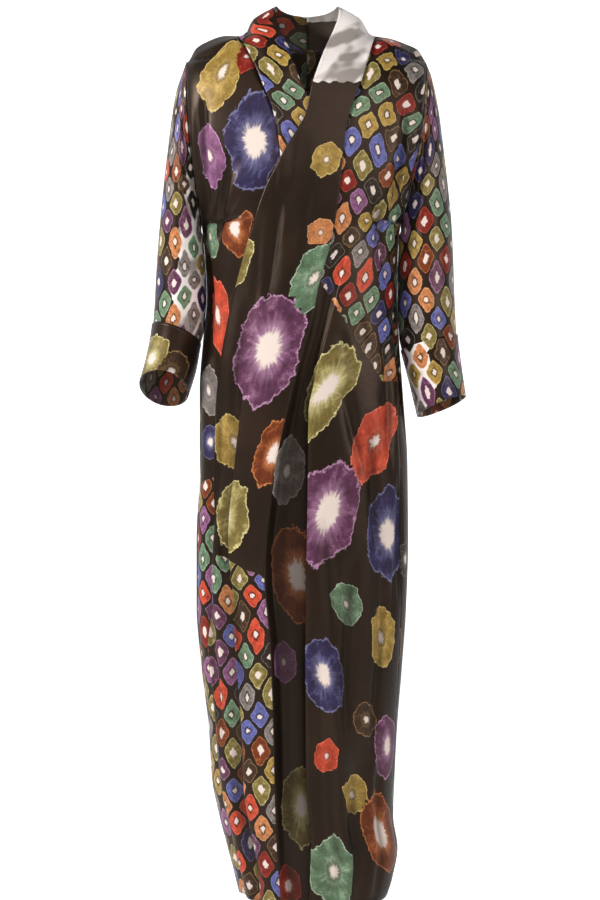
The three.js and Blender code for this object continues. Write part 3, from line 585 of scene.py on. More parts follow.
def neck_row(side, path, seam_at, station):
    """Points of the band across one station of the neck."""
    if station["back"]:
        seam_x = side * station["seam_x"]
        seam_z = neck_seam_z(seam_x)
        sewn = back_point(seam_x, seam_z + SEAM_GAP, 0)
    else:
        seam_z = station["seam_z"]
        seam_x = seam_at(seam_z)
        sewn = ridge_point(seam_x, seam_z, 0)
    steps = path(seam_z)
    first, whole = steps[0][0], steps[-1][0] - steps[0][0]
    free = Vector((side * station["lead_x"], station["lead_y"], station["lead_z"]))
    if station["seam_x"] == 0:
        sewn.x = free.x = side * NECK_CENTRE_GAP / 2
    points = []
    for x, lift in steps:
        share = (x - first) / whole
        flat = free.lerp(sewn, share)
        out = Vector((flat.x, flat.y, 0)).normalized()
        out = Vector((out.x, out.y, COLLAR_RISE)).normalized()
        flat += out * COLLAR_CROWN * 4 * share * (1 - share) * (1 - station["body"])
        laid = ridge_point(flat.x, flat.z, lift)
        weight = 0 if station["back"] else max(station["body"], ease(*COLLAR_LAID, share))
        points.append(flat.lerp(laid, weight))
    return points


def refine_rows(grid, parts):
    """Extra rows between the given ones, on smooth curves through them."""
    last = len(grid) - 1
    result = []
    for i in range(last):
        before, here = grid[max(0, i - 1)], grid[i]
        after, beyond = grid[i + 1], grid[min(last, i + 2)]
        for k in range(parts):
            t = k / parts
            row = []
            for p, q, r, s in zip(before, here, after, beyond):
                straight = q.lerp(r, t)
                bend = (r - p) * 0.5 * (1 - t) - (s - q) * 0.5 * t - (r - q) * (1 - 2 * t)
                row.append(straight + bend * t * (1 - t))
            result.append(row)
    result.append(grid[last])
    return result


def band_grid(rows, side, path, seam_at):
    heights = [z for _, z, _ in rows if z < NECK_STARTS_Z + 2]
    on_body = [[front_point(x, z, lift) for x, lift in path(z)] for z in heights]
    neck = [neck_row(side, path, seam_at, station) for station in reversed(NECK_STATIONS)]
    return on_body[:-1] + refine_rows([on_body[-1]] + neck, NECK_PARTS)


def back_top_x(j):
    """Where the column j of the back meets its top edge: along a shoulder, the neck or the other shoulder."""
    shoulder = round(BACK_PARTS * BACK_SHOULDER_SHARE)
    edge = body_right(SHOULDER_Z)
    if j <= shoulder:
        return mix(edge, NECK_SEAM_X, j / shoulder)
    if j >= BACK_PARTS - shoulder:
        return -mix(edge, NECK_SEAM_X, (BACK_PARTS - j) / shoulder)
    return mix(NECK_SEAM_X, -NECK_SEAM_X, (j - shoulder) / (BACK_PARTS - 2 * shoulder))


def back_grid(rows):
    grid = []
    for armhole_z, _, is_top in rows:
        level = max(0.0, (armhole_z - ARMPIT_Z) / (SHOULDER_Z - ARMPIT_Z))
        left = side_turn(1, armhole_z) + SIDE_SEAM_TURN
        right = 360 + side_turn(-1, armhole_z) - SIDE_SEAM_TURN
        points = []
        for j in range(BACK_PARTS + 1):
            turn = mix(left, right, j / BACK_PARTS)
            if level == 0:
                points.append(form_point(turn, armhole_z, 0))
                continue
            top_share = (back_top_x(j) - middle(SHOULDER_Z)) / half_width(SHOULDER_Z)
            share = mix(math.sin(math.radians(turn)), top_share, level)
            x = middle(armhole_z) + half_width(armhole_z) * share
            in_neck = abs(x) < NECK_SEAM_X
            top_z = neck_seam_z(x) if in_neck else ridge(x)
            point = back_point(x, mix(ARMPIT_Z, top_z, level), 0)
            point.y += SEAM_GAP / 2
            if is_top and in_neck:
                allowance = Vector((-x / NECK_SEAM_X, -NECK_ALLOWANCE_IN, NECK_ALLOWANCE_UP))
                point += allowance * ease(NECK_SEAM_X, NECK_ALLOWANCE_X, abs(x))
            points.append(point)
        grid.append(points)
    return grid


def sleeve_crease(around, along):
    depth = 0.0
    for row in SLEEVE_CREASES:
        t = (along - row["along_from"]) / (row["along_to"] - row["along_from"])
        if 0 < t < 1:
            centre = mix(row["around_from"], row["around_to"], t)
            depth += row["depth"] * math.sin(math.pi * t) * bell(around, centre, row["width"])
    return depth


def sleeve_grid(side, rings, first_ring, row_count):
    """Rings of a sleeve, each from its seam under the arm round to the same point again."""
    numbered = [dict(row, at=i + 1) for i, row in enumerate(rings)]
    curves = {name: column(numbered, "at", name) for name in SLEEVE_COLUMNS.split()}
    body_edge, near_body = (body_right, near_left) if side > 0 else (body_left, near_right)
    armhole_z, reach = (SHOULDER_Z + ARMPIT_Z) / 2, (SHOULDER_Z - ARMPIT_Z) / 2
    grid = []
    for k in range(row_count + 1):
        at = mix(first_ring, len(rings), k / row_count)
        now = {name: curve(max(1, at)) for name, curve in curves.items()}
        centre_x = (now["out_x"] + now["in_x"]) / 2
        ring = []
        for j in range(RING_PARTS + 1):
            angle = math.pi + 2 * math.pi * (j % RING_PARTS) / RING_PARTS
            share = (1 - math.cos(angle)) / 2
            front = math.sin(angle)
            z = armhole_z + math.cos(angle) * reach
            start = Vector((
                body_edge(z) + side * (SEAM_GAP + SEWN_EXTRA), -math.copysign(armhole_half(z), front), z,
            ))
            x = mix(now["out_x"], now["in_x"], share) + side * now["bow"] * 4 * share * (1 - share)
            height = mix(now["out_z"], now["in_z"], share) + now["tilt"] * front
            point = Vector((x - side * near_body(height) * share ** 3, -now["half"] * front, height))
            if at < 1:
                point = start.lerp(point, at)
            inward = Vector((centre_x - point.x, -point.y, 0))
            ring.append(point + inward.normalized() * sleeve_crease(math.degrees(angle), at / len(rings)))
        grid.append(ring)
    return grid


def outwards(grid, distance):
    """The same rings, moved out from their middles."""
    result = []
    for ring in grid:
        count = len(ring) - 1
        centre = sum(ring[:-1], Vector()) / count
        moved = []
        for j, point in enumerate(ring):
            out = (ring[(j + 1) % count] - ring[(j - 1) % count]).cross(Vector((0, 0, 1))).normalized()
            if out.dot(point - centre) < 0:
                out.negate()
            moved.append(point + out * distance)
        result.append(moved)
    return result


@functools.cache
def all_grids():
    """Grid of outer points for each piece, in millimetres, so that its faces look outwards."""
    rows = body_rows()
    back = back_grid(rows)
    half = BACK_PARTS // 2
    grids = {
        "back_left": [row[:half + 1] for row in back],
        "back_right": [row[half:] for row in back],
        "front_left": left_front_grid(rows),
        "front_right": right_front_grid(rows),
        "band_left": band_grid(rows, 1, left_band_path, left_seam),
        "band_right": turned(band_grid(rows, -1, right_band_path, right_seam)),
    }
    for name, side, rings in (("left", 1, LEFT_SLEEVE), ("right", -1, RIGHT_SLEEVE)):
        sleeve = sleeve_grid(side, rings, 0, SLEEVE_ROWS)
        cuff = outwards(sleeve_grid(side, rings, len(rings) - CUFF_RINGS + 1, CUFF_ROWS), WALL + SEAM_GAP)
        grids["sleeve_" + name] = sleeve if side > 0 else turned(sleeve)
        grids["cuff_" + name] = cuff if side > 0 else turned(cuff)
    return grids


# ---- Cloth meshes ----

# Each piece: its slot, whether its rows close, width, length and area of its cut in metres, its neighbours
PIECES = table(
    "name slot ring width length area rests_on",
    ("back_left", "silk_body", False, 0.26, 1.4, 0.33, ("front_left", "back_right")),
    ("back_right", "silk_body", False, 0.26, 1.4, 0.33, ("front_right", "back_left")),
    ("front_left", "silk_body", False, 0.33, 1.4, 0.32, ("band_left", "back_left")),
    ("front_right", "silk_body", False, 0.25, 1.4, 0.23, ("band_right", "back_right")),
    ("band_left", "silk_band", False, 0.125, 1.52, 0.17, ("front_left", "band_right")),
    ("band_right", "silk_band", False, 0.11, 1.5, 0.14, ("front_right", "band_left")),
    ("sleeve_left", "silk_body", True, 0.32, 0.52, 0.145, ("front_left", "back_left")),
    ("sleeve_right", "silk_body", True, 0.32, 0.5, 0.13, ("front_right", "back_right")),
    ("cuff_left", "silk_cuff", True, 0.33, 0.12, 0.037, ("sleeve_left",)),
    ("cuff_right", "silk_cuff", True, 0.33, 0.11, 0.031, ("sleeve_right",)),
)


def running_lengths(points):
    lengths = [0.0]
    for a, b in zip(points, points[1:]):
        lengths.append(lengths[-1] + (b - a).length)
    return lengths


def sleeve_places(grid, name):
    """Places on a sleeve or cuff: across by the turn round its middle at each height, and up by height."""
    is_left = name.endswith("left")
    rings = LEFT_SLEEVE if is_left else RIGHT_SLEEVE
    outer = column(rings, "out_z", "out_x")
    inner, deep = columns(rings, "in_z", "in_x half")
    body_edge = body_right if is_left else body_left
    places = []
    for row in grid:
        line = []
        turns = 0.0
        before = math.pi if is_left else 0.0
        for point in row:
            z = point.z
            edge = inner(z) if z < ARMPIT_Z else body_edge(z)
            centre, wide = (outer(z) + edge) / 2, abs(outer(z) - edge) / 2
            turn = math.atan2(-point.y / deep(z), (point.x - centre) / wide)
            if abs(turn - before) > math.pi:
                turns -= math.copysign(1, turn - before)
            before = turn
            line.append(((turn + 2 * math.pi * turns) * SLEEVE_RADIUS * MM, z * MM))
        places.append(line)
    return places


def cloth_places(grid, name):
    """Place of each grid point on the flat cloth, in metres: across from a seam, and up along the columns."""
    if name.startswith(("sleeve", "cuff")):
        return sleeve_places(grid, name)
    level = grid if name.startswith("band") else [[Vector((p.x, p.y, 0)) for p in row] for row in grid]
    across = [running_lengths(row) for row in level]
    along = [running_lengths(line) for line in zip(*grid)]
    start = len(grid[0]) - 1 if name in ("band_left", "back_left") else 0
    places = []
    for i, row in enumerate(grid):
        places.append([((u - across[i][start]) * MM, line[i] * MM) for u, line in zip(across[i], along)])
    return places


def cloth_mesh(name, grid, ring):
    """Mesh of one layer through a grid of points, with its places on the flat cloth as UVs."""
    n_rows, n_columns = len(grid), len(grid[0])
    unique = n_columns - 1 if ring else n_columns
    vertices = [tuple(point * MM) for row in grid for point in row[:unique]]
    places = cloth_places(grid, name)
    faces, corners = [], []
    for i in range(n_rows - 1):
        for j in range(n_columns - 1):
            quad = ((i, j), (i, j + 1), (i + 1, j + 1), (i + 1, j))
            faces.append([a * unique + b % unique for a, b in quad])
            corners.extend(quad)
    mesh = bpy.data.meshes.new(name + "_silk")
    mesh.from_pydata(vertices, [], faces)
    uv = mesh.uv_layers.new(name="cloth")
    uv.data.foreach_set("uv", [value for i, j in corners for value in places[i][j]])
    mesh.shade_smooth()
    return mesh, places, corners


def new_object(context, name, mesh):
    obj = bpy.data.objects.new(name, mesh)
    context.scene.collection.objects.link(obj)
    return obj


def thicken(obj, thickness):
    shell = obj.modifiers.new("cloth thickness", "SOLIDIFY")
    shell.thickness = thickness
    shell.offset = -1
    shell.use_even_offset = False
    shell.material_offset = 1
    shell.material_offset_rim = 1


# ---- Resist-dyed motifs ----

def rgba(code):
    """Scene-linear colour of a hex code, with full opacity."""
    channels = [int(code[i:i + 2], 16) / 255 for i in (0, 2, 4)]
    return (*(c / 12.92 if c <= 0.04045 else ((c + 0.055) / 1.055) ** 2.4 for c in channels), 1.0)


GROUND = "150d07"
GROUND_LIGHT = "22160d"
PALE_GROUND = "e2d9d4"
PALE_SHADE = "8f8680"
CREAM = "dccbc0"
SHEEN_TINT = "ffdcc4"
# Dark colour of the painted shade in creases and recesses
PAINTED_FOLD_SHADE = "070504"
REVERSE_TINT = "4a4039"
THREAD = "3a302a"
# The dyes: a motif's field and rim, and whether a small diamond's centre lies in a darker ring
DYES = table(
    "name field rim bright",
    ("olive", "80703a", "e2d79a", 0), ("plum", "5e3350", "c090b0", 0), ("navy", "2a2850", "7f7da2", 0),
    ("blue", "5a5f9c", "9094c8", 1), ("coral", "c4452e", "e8775c", 1), ("red", "7c1c16", "c4553e", 0),
    ("rust", "713115", "d2834c", 0), ("ochre", "a3843f", "dcc07a", 1), ("orange", "c27a4a", "ecb284", 1),
    ("green", "627f62", "b8c8ac", 1), ("grey", "7d746f", "bdb4ae", 1), ("mauve", "87557c", "c893bd", 1),
    ("umber", "38271b", "a8814f", 0), ("black", "1e1a16", "8c867a", 0),
)
DYE_COLOURS = {row["name"]: {part: rgba(row[part]) for part in ("field", "rim")} for row in DYES}

# Large motifs: centre across and up, seen from the front, and size, in millimetres, turn in degrees, dye
# and share of the pale centre
MOTIF_COLUMNS = "x z width height turn dye centre"
MOTIFS = {
    "front_right": table(
        MOTIF_COLUMNS,
        (-132, -62, 78, 128, -14, "ochre", 0.17), (-82, -172, 92, 168, 16, "navy", 0.34),
        (-88, -32, 56, 66, 24, "red", 0.15), (-152, -196, 56, 112, 4, "mauve", 0.17),
        (-116, -306, 62, 104, -8, "rust", 0.28), (-164, -318, 40, 84, 0, "green", 0.15),
        (-152, -440, 56, 138, 6, "coral", 0.2), (-162, -562, 44, 92, 0, "grey", 0.18),
        (-158, -646, 44, 60, 0, "navy", 0.24),
    ),
    "band_left": table(
        MOTIF_COLUMNS,
        (-66, -500, 122, 198, 8, "plum", 0.32), (8, -392, 76, 128, -12, "green", 0.15),
        (24, -318, 44, 52, 10, "orange", 0.15), (26, -204, 50, 62, -12, "ochre", 0.15),
        (-116, -640, 74, 96, 6, "ochre", 0.15), (-52, -662, 66, 118, -4, "rust", 0.28),
        (-110, -762, 104, 136, 10, "olive", 0.3),
    ),
    "front_left": table(
        MOTIF_COLUMNS,
        (30, -560, 96, 168, 8, "olive", 0.3), (106, -640, 84, 138, -10, "coral", 0.16),
        (34, -748, 104, 186, -6, "plum", 0.34), (-34, -690, 62, 120, 4, "grey", 0.17),
        (128, -792, 92, 164, 6, "navy", 0.3), (-22, -848, 92, 168, 8, "rust", 0.3),
        (62, -898, 56, 74, 14, "green", 0.15), (118, -952, 58, 108, -6, "ochre", 0.15),
        (24, -1002, 74, 132, 12, "navy", 0.28), (-38, -988, 44, 72, 0, "mauve", 0.16),
        (92, -1076, 50, 62, 8, "umber", 0.2), (140, -1120, 60, 118, 0, "plum", 0.26),
        (30, -1130, 42, 56, -12, "coral", 0.15), (68, -1196, 56, 70, 10, "ochre", 0.17),
        (-12, -1212, 70, 142, -4, "olive", 0.26), (112, -1262, 88, 150, 8, "rust", 0.3),
        (40, -1310, 82, 122, -8, "green", 0.17), (-30, -1334, 44, 70, 0, "red", 0.26),
    ),
    "cuff_right": table(
        MOTIF_COLUMNS,
        (-214, -536, 84, 74, 8, "umber", 0.2), (-252, -510, 70, 84, -6, "olive", 0.24),
        (-250, -590, 54, 60, 0, "rust", 0.2),
    ),
}
# The strewn motifs of the hidden sides: distance across and up and range of widths, in millimetres, and the
# ranges of their height as a share of the width, their turn and the share of the pale centre
STREWN = {
    "across": 108, "up": 150, "size": (42, 100),
    "tall": (1.15, 1.75), "turn": (-20, 20), "centre": (0.14, 0.32),
}
# How far apart the random shapes of two neighbours in the list are
MOTIF_SEED = 1.7
# In metres: how far a strewn motif may be shifted, across and up, the least room beside it, and how far past
# the edge it may lie
STREWN_SHIFT = (0.018, 0.02)
STREWN_CLEARANCE = 0.002
STREWN_PAST_EDGE = 0.05
# Above this height the left band has no strewn motifs
BARE_BAND_Z = -330
# A back point counts as further from a motif of the table by this much for each millimetre behind this plane
FRONT_ONLY = {"y": -60, "weight": 20}
# The lattice of small diamonds: width and height of a cell in millimetres, and how square its corners are
LATTICE = {"across": 42, "up": 60, "corner": 4.0}
# Borders of the lattice: a line across the piece and its softness, in millimetres, and the lattice's side
BORDERS = table(
    "piece x_from z_from x_to z_to soft above",
    ("front_left", 14, -382, 118, -548, 10, True), ("front_right", -250, -750, 250, -500, 15, False),
    ("band_left", -250, -765, 250, -1015, 15, False), ("back_left", 0, -420, 150, -548, 15, True),
    ("back_right", -250, -1005, 250, -755, 15, False),
)
ALL_LATTICE = ("band_right", "sleeve_left", "sleeve_right", "cuff_left")
# Pale cloth: the collar from its lower edge up, and zigzag strips on a sleeve and a cuff
COLLAR_Z = (-84, -78)
COLLAR_INSIDE_Z = 40
SLEEVE_PALE = {
    "bottom": -480, "top": -190, "ends": 20, "left": -202, "right": -150, "zigzag": 14, "pitch": 40,
    "narrowing": 22, "narrows": (-420, -200),
}
CUFF_PALE = {"left": 150, "right": 206, "zigzag": 20, "pitch": 42}
PALE_EDGE = 3
# Painted shade: most darkening of the colour in creases and in the recesses beside the laps, and the depths
# where it starts and ends
CREASE_SHADE = 0.6
CREASE_SHADE_DEPTH = (0, 8)
RECESS_SHADE = 0.76
RECESS_SHADE_DEPTH = (3, 20)


def nearest(points, grid, row):
    """Grid place nearest to a motif of the table, seen from the front."""
    def distance(at):
        point = grid[at[0]][at[1]]
        behind = max(0.0, point.y - FRONT_ONLY["y"]) * FRONT_ONLY["weight"]
        return (point.x - row["x"]) ** 2 + (point.z - row["z"]) ** 2 + behind

    return min(points, key=distance)


def motif_rows(name, grid, places):
    """Places on the flat cloth, sizes and dyes of the motifs: the table's, then strewn ones around them."""
    rows = []
    points = [(i, j) for i in range(len(grid)) for j in range(len(grid[0]))]
    for row in MOTIFS.get(name, ()):
        i, j = nearest(points, grid, row)
        size = (row["width"] * MM / 2, row["height"] * MM / 2)
        rows.append((*places[i][j], *size, row["turn"], row["dye"], row["centre"]))
    dice = random.Random(name)
    across, up = STREWN["across"] * MM, STREWN["up"] * MM
    us, vs = zip(*(place for line in places for place in line))
    left, right, top = min(us), max(us), max(vs)
    line_number = 0
    v = min(vs) + dice.uniform(-up, 0) / 2
    while v < top:
        u = left + (line_number % 2) * across / 2
        while u < right + STREWN_PAST_EDGE:
            size = dice.uniform(*STREWN["size"]) * MM / 2
            spot = tuple(at + dice.uniform(-shift, shift) for at, shift in zip((u, v), STREWN_SHIFT))
            dye = dice.choice(DYES)["name"]
            tall, turn, centre = (dice.uniform(*STREWN[part]) for part in ("tall", "turn", "centre"))
            reach = [math.dist(spot, other[:2]) - max(other[2:4]) - size * tall for other in rows]
            i, j = min(points, key=lambda at: math.dist(places[at[0]][at[1]], spot))
            is_bare = name == "band_left" and grid[i][j].z > BARE_BAND_Z
            if min(reach, default=1.0) > STREWN_CLEARANCE and not is_bare:
                rows.append((*spot, size, size * tall, turn, dye, centre))
            u += across
        v += up / 2
        line_number += 1
    return rows


VALUE_NAMES = {"FLOAT": "value", "FLOAT_VECTOR": "vector", "FLOAT_COLOR": "color"}


def store(mesh, name, kind, domain, values):
    """Stores values on the mesh for the materials, one for each corner, face or point."""
    mesh.attributes.new(name, kind, domain).data.foreach_set(VALUE_NAMES[kind], values)


def paint_motifs(mesh, name, grid, places, corners):
    """Stores for each face the motif that it lies in: place in the motif, dye, rim and centre."""
    rows = motif_rows(name, grid, places)
    place_values, fields, rims, centres = [], [], [], []
    for f in range(len(mesh.polygons)):
        quad = [places[i][j] for i, j in corners[f * 4:f * 4 + 4]]
        u, v = (sum(values) / 4 for values in zip(*quad))
        number = min(range(len(rows)), key=lambda n: math.hypot(
            (u - rows[n][0]) / rows[n][2], (v - rows[n][1]) / rows[n][3],
        ))
        mu, mv, wide, tall, turn, dye, centre = rows[number]
        c, s = math.cos(math.radians(turn)), math.sin(math.radians(turn))
        for pu, pv in quad:
            du, dv = pu - mu, pv - mv
            place_values.extend(((du * c + dv * s) / wide, (dv * c - du * s) / tall, number * MOTIF_SEED))
        fields.extend(DYE_COLOURS[dye]["field"])
        rims.extend(DYE_COLOURS[dye]["rim"])
        centres.append(centre)
    store(mesh, "motif_place", "FLOAT_VECTOR", "CORNER", place_values)
    store(mesh, "motif_field", "FLOAT_COLOR", "FACE", fields)
    store(mesh, "motif_rim", "FLOAT_COLOR", "FACE", rims)
    store(mesh, "motif_centre", "FLOAT", "FACE", centres)


def band_of(value, low, high, soft):
    """1 between low and high, soft outside."""
    return ease(low - soft, low, value) * (1 - ease(high, high + soft, value))


def zigzag(z, strip):
    return strip["zigzag"] * abs((z / strip["pitch"]) % 2 - 1)


def zones(name, point):
    """Share of small lattice, of pale ground and of plain ground at a point, in millimetres."""
    x, y, z = point
    front = 1.0 if y < 0 else 0.0
    lattice = 1.0 if name in ALL_LATTICE else 0.0
    pale = plain = 0.0
    for row in BORDERS:
        if row["piece"] == name:
            line = mix(row["z_from"], row["z_to"], clamp((x - row["x_from"]) / (row["x_to"] - row["x_from"])))
            above = ease(line - row["soft"], line + row["soft"], z)
            lattice = above if row["above"] else 1 - above
    if name == "band_left":
        plain = ease(*COLLAR_Z, z)
        pale = plain * (front if z < COLLAR_INSIDE_Z else 1.0)
    if name == "sleeve_right":
        strip = SLEEVE_PALE
        left = strip["left"] + strip["narrowing"] * ease(*strip["narrows"], z)
        pale = band_of(z, strip["bottom"], strip["top"], strip["ends"]) * front
        pale *= band_of(x + zigzag(z, strip), left, strip["right"], PALE_EDGE)
    if name == "cuff_left":
        strip = CUFF_PALE
        pale = band_of(x + zigzag(z, strip), strip["left"], strip["right"], PALE_EDGE) * front
    return lattice, pale, plain


def fold_shade(name, point):
    """Painted shade at a point, how much the colour darkens in a fold: 0 on the open cloth, 1 deep in a
    recess.
    """
    if not name.startswith(("front", "band", "back")) or point.z > NECK_STARTS_Z:
        return 0.0
    turn = turn_at(point.x, point.z)
    if name.startswith("back"):
        return CREASE_SHADE * ease(*CREASE_SHADE_DEPTH, crease(180 - turn, point.z))
    shade = CREASE_SHADE * ease(*CREASE_SHADE_DEPTH, crease(turn, point.z))
    if name in ("front_left", "band_left"):
        depth = point.y - form_point(turn, point.z, 0).y
        shade = max(shade, RECESS_SHADE * ease(*RECESS_SHADE_DEPTH, depth))
    return shade


def paint_zones(mesh, name, grid, ring):
    unique = len(grid[0]) - 1 if ring else len(grid[0])
    points = [point for row in grid for point in row[:unique]]
    store(mesh, "zones", "FLOAT_VECTOR", "POINT", [share for point in points for share in zones(name, point)])
    # Painted shade of the creases and recesses, stored for the material
    store(mesh, "fold_shade", "FLOAT", "POINT", [fold_shade(name, point) for point in points])


# ---- Materials ----

class Tree:
    """Short ways to add nodes to a node tree."""

    def __init__(self, tree):
        self.tree = tree

    def add(self, kind, inputs=(), **settings):
        node = self.tree.nodes.new(kind)
        for name, value in settings.items():
            setattr(node, name, value)
        for key, value in dict(inputs).items():
            if isinstance(value, bpy.types.NodeSocket):
                self.tree.links.new(value, node.inputs[key])
            else:
                node.inputs[key].default_value = value
        return node

    def math(self, operation, a, b=0.0, c=0.0):
        return self.add("ShaderNodeMath", {0: a, 1: b, 2: c}, operation=operation).outputs[0]

    def plus(self, a, b):
        return self.math("ADD", a, b)

    def less(self, a, b):
        return self.math("SUBTRACT", a, b)

    def times(self, a, b, then_plus=None):
        if then_plus is None:
            return self.math("MULTIPLY", a, b)
        return self.math("MULTIPLY_ADD", a, b, then_plus)

    def vector(self, operation, a, b=(0, 0, 0), out=0):
        return self.add("ShaderNodeVectorMath", {0: a, 1: b}, operation=operation).outputs[out]

    def step(self, value, start, end):
        """Smooth step from 0 at start to 1 at end, which may lie below start."""
        low, high = sorted((start, end))
        at_low = 0.0 if start < end else 1.0
        inputs = {"Value": value, "From Min": low, "From Max": high, "To Min": at_low, "To Max": 1.0 - at_low}
        return self.add("ShaderNodeMapRange", inputs, interpolation_type="SMOOTHSTEP").outputs[0]

    def mix(self, share, a, b):
        return self.add("ShaderNodeMix", {0: share, 6: a, 7: b}, data_type="RGBA").outputs[2]

    def noise(self, vector, scale, detail=2.0, rough=0.5):
        inputs = {"Vector": vector, "Scale": scale, "Detail": detail, "Roughness": rough}
        return self.add("ShaderNodeTexNoise", inputs).outputs[0]

    def wobble(self, *noise):
        """Noise about zero."""
        return self.less(self.noise(*noise), 0.5)

    def attribute(self, name, out):
        return self.add("ShaderNodeAttribute", attribute_name=name).outputs[out]


def motif_layer(t, cloth):
    """Colours of the large motifs and where they are: the place runs from -1 to 1 over a motif."""
    place = t.attribute("motif_place", 1)
    field, rim = t.attribute("motif_field", 0), t.attribute("motif_rim", 0)
    centre = t.attribute("motif_centre", 2)
    flat = t.vector("MULTIPLY", place, (1, 1, 0))
    seed = t.vector("MULTIPLY", place, (0, 0, 1))
    way = t.vector("ADD", t.vector("NORMALIZE", flat), seed)
    jags = t.wobble(cloth, 85.0, 3.0, 0.6)
    # The outline lies between a round one and one with corners, and bulges
    round_distance = t.vector("LENGTH", flat, out=1)
    sides = t.add("ShaderNodeSeparateXYZ", {0: t.vector("ABSOLUTE", flat)}).outputs
    corner_distance = t.math("MAXIMUM", t.times(sides[0], 1.08), t.times(sides[0], 0.5, sides[1]))
    distance = t.plus(t.times(round_distance, 0.4), t.times(corner_distance, 0.6))
    outline = t.plus(t.times(t.wobble(way, 1.5, 3.0), 0.45, distance), t.times(jags, 0.3))
    # The field, clouded and streaked outwards
    streak = t.noise(t.vector("ADD", way, t.vector("MULTIPLY", flat, (0.5, 0.5, 0.5))), 4.5, 4.0, 0.6)
    threads = t.noise(t.vector("MULTIPLY", cloth, (0.2, 1.0, 1.0)), 900.0, 1.0)
    cloud = t.times(t.noise(cloth, 38.0, 4.0, 0.62), 0.75)
    shade = t.plus(cloud, t.times(streak, 0.35, t.times(threads, 0.25)))
    deep = t.mix(0.6, field, rgba(GROUND))
    colour = t.mix(t.step(shade, 0.45, 0.85), deep, field)
    colour = t.mix(t.times(t.step(shade, 0.68, 0.95), 0.55), colour, rim)
    # The pale heart; in a small motif it lies in a darker ring
    heart = t.less(t.times(t.less(streak, 0.5), 0.34, centre), round_distance)
    heart = t.times(jags, 0.2, heart)
    colour = t.mix(t.times(t.step(heart, -0.3, 0.02), 0.45), colour, rim)
    ring = t.times(t.step(heart, -0.16, -0.06), t.step(centre, 0.235, 0.225))
    colour = t.mix(t.times(ring, 0.8), colour, deep)
    colour = t.mix(t.step(heart, -0.05, 0.08), colour, rgba(CREAM))
    # The light rim, broken up
    edge = t.times(t.step(outline, 0.875, 0.925), t.step(t.noise(cloth, 300.0, 2.0), 0.25, 0.55))
    colour = t.mix(t.times(edge, 0.85), colour, rim)
    return colour, t.step(outline, 0.95, 0.925)


def lattice_layer(t, cloth):
    """Small diamonds on their corners, each with its own dye, a light outline and a light centre."""
    parts = t.add("ShaderNodeSeparateXYZ", {0: cloth}).outputs
    drift = t.times(t.wobble(cloth, 12.0, 1.0), 0.7)
    across = t.math("DIVIDE", parts[0], LATTICE["across"] * MM)
    up = t.plus(t.math("DIVIDE", parts[1], LATTICE["up"] * MM), drift)
    diagonals = (t.plus(across, up), t.less(across, up))
    floors = [t.math("FLOOR", at) for at in diagonals]
    cell = t.add("ShaderNodeCombineXYZ", {0: floors[0], 1: floors[1], 2: 0.0}).outputs[0]
    dice = t.add("ShaderNodeTexWhiteNoise", {0: cell}, noise_dimensions="3D").outputs[0]
    field, rim, bright = (dye_ramp(t, dice, part) for part in ("field", "rim", "bright"))
    offsets = [t.math("ABSOLUTE", t.less(t.math("FRACT", at), 0.5)) for at in diagonals]
    power = LATTICE["corner"]
    total = t.plus(*(t.math("POWER", offset, power) for offset in offsets))
    distance = t.times(t.math("POWER", total, 1 / power), 2.0)
    ragged = t.wobble(cloth, 420.0, 2.0)
    outline = t.plus(t.times(t.wobble(cloth, 75.0, 1.0), 0.34, distance), t.times(ragged, 0.14))
    cloud = t.noise(cloth, 150.0, 3.0)
    colour = t.mix(t.step(cloud, 0.25, 0.6), t.mix(0.5, field, rgba(GROUND)), field)
    colour = t.mix(t.times(t.step(cloud, 0.55, 0.75), 0.3), colour, rim)
    dots = t.step(t.noise(cloth, 700.0, 1.0), 0.42, 0.55)
    colour = t.mix(t.times(t.step(outline, 0.76, 0.82), t.times(dots, 0.5, 0.25)), colour, rim)
    heart = t.plus(t.times(t.wobble(cloth, 130.0, 1.0), 0.36, distance), t.times(ragged, 0.16))
    heart = t.times(bright, 0.07, heart)
    colour = t.mix(t.times(t.step(heart, 0.47, 0.36), t.times(bright, 0.8)), colour, rgba(GROUND))
    colour = t.mix(t.step(heart, 0.32, 0.25), colour, rgba(CREAM))
    return colour, t.step(outline, 0.87, 0.81)


def dye_ramp(t, value, part):
    """One part of the dyes, each over an equal share of the values from 0 to 1."""
    node = t.add("ShaderNodeValToRGB", {0: value})
    ramp = node.color_ramp
    ramp.interpolation = "CONSTANT"
    while len(ramp.elements) < len(DYES):
        ramp.elements.new(0.5)
    for k, row in enumerate(DYES):
        ramp.elements[k].position = k / len(DYES)
        ramp.elements[k].color = rgba(row[part]) if part != "bright" else (row[part],) * 3 + (1,)
    return node.outputs[0]


